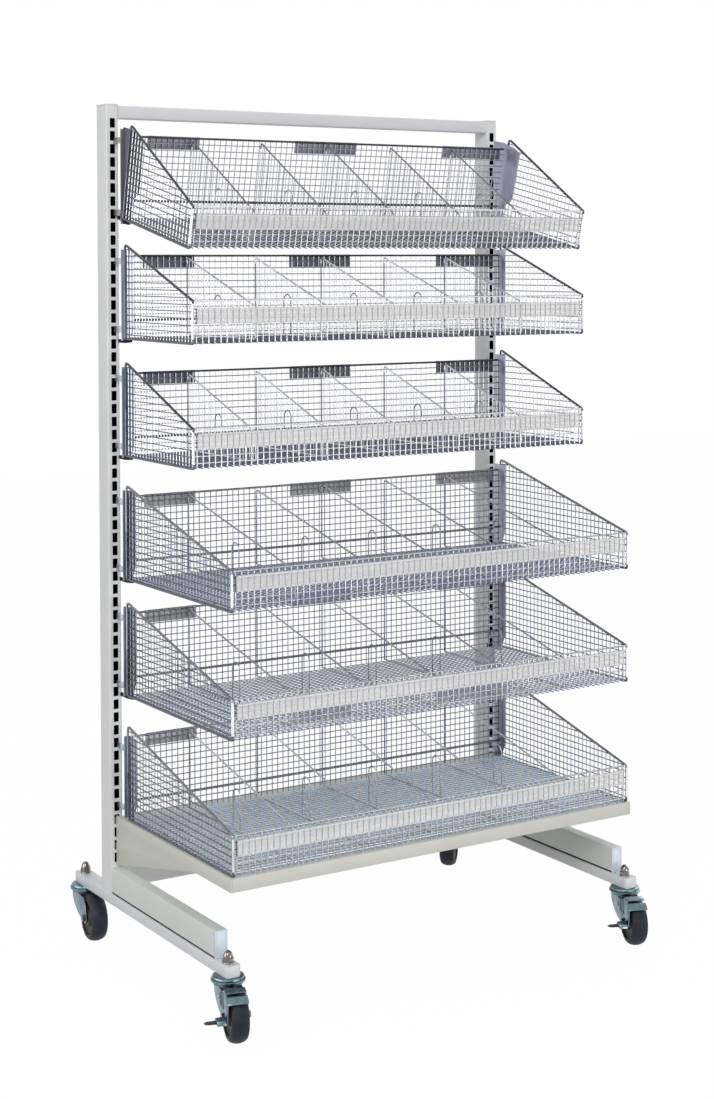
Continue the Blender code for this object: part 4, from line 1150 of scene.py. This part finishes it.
def brake_band():
    """The brake's zinc parts: bands over the tread, the ribbed plate beside the arm, the pedal's root."""
    reach = WHEEL_RADIUS + SHOE_GAP
    axle = (-TRAIL, WHEEL_RADIUS)
    left = -FORK_GAP / 2 - FORK_SHEET - BRAKE_GAP
    outer = left - BRAKE_SHEET
    span = WHEEL_HALF - left
    meshes = []
    for first, last, rise in SHOE_BANDS:
        start = math.pi - math.radians(last)
        stop = math.pi - math.radians(first)
        band = arc(axle, reach + rise, start, stop, 4) + arc(axle, reach, stop, start, 4)
        meshes.append(shifted(plate(band, span, THIN_EDGE), left + span / 2 - BRAKE_SHEET))
    over = math.pi - SHOE_RISE
    y, z = BRAKE_PIVOT
    side = [(y + PIVOT_REACH, z - PIVOT_REACH), (y + PIVOT_REACH, z + PIVOT_REACH / 2),
            (y - PIVOT_REACH, z + PIVOT_REACH)]
    side += arc(axle, reach + BRAKE_SHEET, over - SHOE_SPREAD, over + SHOE_SPREAD, 6)
    side += [(PEDAL_BACK, WHEEL_RADIUS), (PEDAL_FRONT, WHEEL_RADIUS), (PEDAL_FRONT, z - 2 * PIVOT_REACH)]
    meshes.append(shifted(plate(side, BRAKE_SHEET, THIN_EDGE), left - BRAKE_SHEET / 2))
    for place, low, high in BRAKE_RIBS:
        meshes.append(block((outer - BRAKE_RIB_RISE, place - BRAKE_RIB_HALF, low),
                            (left - BRAKE_RIB_SINK, place + BRAKE_RIB_HALF, high)))
    root = plate([(y, WHEEL_RADIUS + z) for y, z in ROOT_OUTLINE], PEDAL_ROOT, PEDAL_ROOT_EDGE)
    meshes.append(shifted(root, outer - PEDAL_ROOT / 2))
    turn = Matrix.Translation((outer, *BRAKE_PIVOT)) @ Matrix.Rotation(math.radians(-90), 4, "Y")
    meshes.append(moved(turned(RIVET, 24), turn))
    return merged("brake", meshes)


def brake_pedal():
    """The brake's dark leaf, which a toe presses."""
    left = -FORK_GAP / 2 - FORK_SHEET - BRAKE_GAP - BRAKE_SHEET
    leaf = plate(LEAF_OUTLINE, PEDAL_SHEET, PEDAL_EDGE)
    height = WHEEL_RADIUS + PEDAL_SHEET
    return moved(leaf, Matrix(((0, 0, -1, left), (0, 1, 0, 0), (1, 0, 0, height), (0, 0, 0, 1))))


def build_casters():
    fork = fork_mesh()
    nut = acorn_nut()
    race = race_cap()
    tyre = tyre_mesh()
    hub = hub_mesh()
    axle = axle_mesh()
    band = brake_band()
    pedal = brake_pedal()
    for corner in CORNERS:
        name = corner + "_"
        swivel = joints[name + "swivel"]["pos_m"]
        axis = joints[name + "roll"]["axis"]
        heading = math.atan2(axis[1], axis[0])
        stem = Matrix.Translation((swivel[0], swivel[1], 0)) @ Matrix.Rotation(heading, 4, "Z")
        wheel = stem @ Matrix.Translation((0, -TRAIL, WHEEL_RADIUS))
        turning = name + "fork_body"
        rolling = name + "wheel_body"
        piece(name + "acorn_nut", moved(nut, stem), (chrome,), "frame", [name + "kingpin"])
        piece(name + "race", moved(race, stem), (fork_zinc,), "frame")
        piece(name + "fork_arms", moved(fork, stem), (fork_zinc,), turning, [name + "fork"])
        piece(name + "axle_bolt", moved(axle, wheel), (chrome,), turning, [name + "axle"])
        piece(name + "tyre", moved(tyre, wheel), (rubber,), rolling, [name + "wheel"])
        piece(name + "hub", moved(hub, wheel), (hub_plastic,), rolling)
        if corner.startswith("front"):
            braking = name + "brake_body"
            lever = [name + "brake_lever"]
            piece(name + "brake", moved(band, stem), (fork_zinc,), braking, lever)
            piece(name + "brake_pedal", moved(pedal, stem), (dark_steel,), braking)


# Camera, floor and light

def build_camera():
    data = bpy.data.cameras.new("camera")
    data.sensor_width = SENSOR
    data.lens = FOCAL_PIXELS / IMAGE_HEIGHT * SENSOR
    data.shift_y = (HORIZON_ROW - IMAGE_HEIGHT / 2) / IMAGE_HEIGHT
    camera = linked("camera", data)
    turn = Matrix.Rotation(-CAMERA_YAW, 4, "Z") @ Matrix.Rotation(math.pi / 2 - CAMERA_PITCH, 4, "X")
    turn = turn @ Matrix.Rotation(CAMERA_ROLL, 4, "Z")
    camera.matrix_world = Matrix.Translation(CAMERA_PLACE) @ turn
    bpy.context.scene.camera = camera


def seen_directly(tree):
    """The node and output that give one to a ray from the camera, a reflection or clear plastic."""
    rays = shader_node(tree, "LightPath")
    share = (rays, "Is Camera Ray")
    for kind in ("Is Glossy Ray", "Is Transmission Ray"):
        larger = shader_node(tree, "Math")
        larger.operation = "MAXIMUM"
        join(*share, larger, 0)
        join(rays, kind, larger, 1)
        share = (larger, "Value")
    return share


def mixed(tree, share, first, second, out):
    """Two shaders in the share of a value, as what the surface shows."""
    mix = shader_node(tree, "MixShader")
    join(*share, mix, "Fac")
    join(first, 0, mix, 1)
    join(second, 0, mix, 2)
    join(mix, "Shader", out, "Surface")


def build_floor():
    bm = bmesh.new()
    bmesh.ops.create_grid(bm, x_segments=FLOOR_CELLS, y_segments=FLOOR_CELLS, size=FLOOR_SIZE / 2)
    mesh = bpy.data.meshes.new("floor")
    bm.to_mesh(mesh)
    bm.free()
    floor = linked("floor", mesh)
    made = bpy.data.materials.new("pale_floor")
    made.use_nodes = True
    tree = made.node_tree
    tree.nodes.clear()
    matte = shader_node(tree, "BsdfDiffuse", {"Color": FLOOR_GREY})
    white = shader_node(tree, "Emission", {"Color": WHITE, "Strength": FLOOR_WHITE})
    share = shader_node(tree, "Math", {1: 1 - FLOOR_SHADE})
    share.operation = "MULTIPLY"
    join(*seen_directly(tree), share, 0)
    mixed(tree, (share, "Value"), matte, white, shader_node(tree, "OutputMaterial"))
    mesh.materials.append(made)


def build_world():
    world = bpy.data.worlds.new("studio")
    bpy.context.scene.world = world
    world.use_nodes = True
    tree = world.node_tree
    tree.nodes.clear()
    fill = shader_node(tree, "Background", {"Color": WORLD_TINT, "Strength": WORLD_FILL})
    white = shader_node(tree, "Background", {"Color": WHITE})
    mixed(tree, seen_directly(tree), fill, white, shader_node(tree, "OutputWorld"))


def lamp(name, place, target, size, power, reflected_only):
    """A soft rectangular lamp; one that is reflected only gives wires a bright edge and no other light."""
    data = bpy.data.lights.new(name, "AREA")
    data.shape = "RECTANGLE"
    data.size, data.size_y = size
    data.energy = power
    item = linked(name, data)
    place = Vector(place)
    item.location = place
    item.rotation_euler = (Vector(target) - place).to_track_quat("-Z", "Y").to_euler()
    item.visible_camera = False
    item.visible_diffuse = not reflected_only


build_camera()
build_floor()
build_world()
for lamp_name, settings in LAMPS.items():
    lamp(lamp_name, *settings)
build_frame()
build_baskets()
build_brackets()
build_casters()

bpy.context.scene.view_settings.view_transform = "Standard"
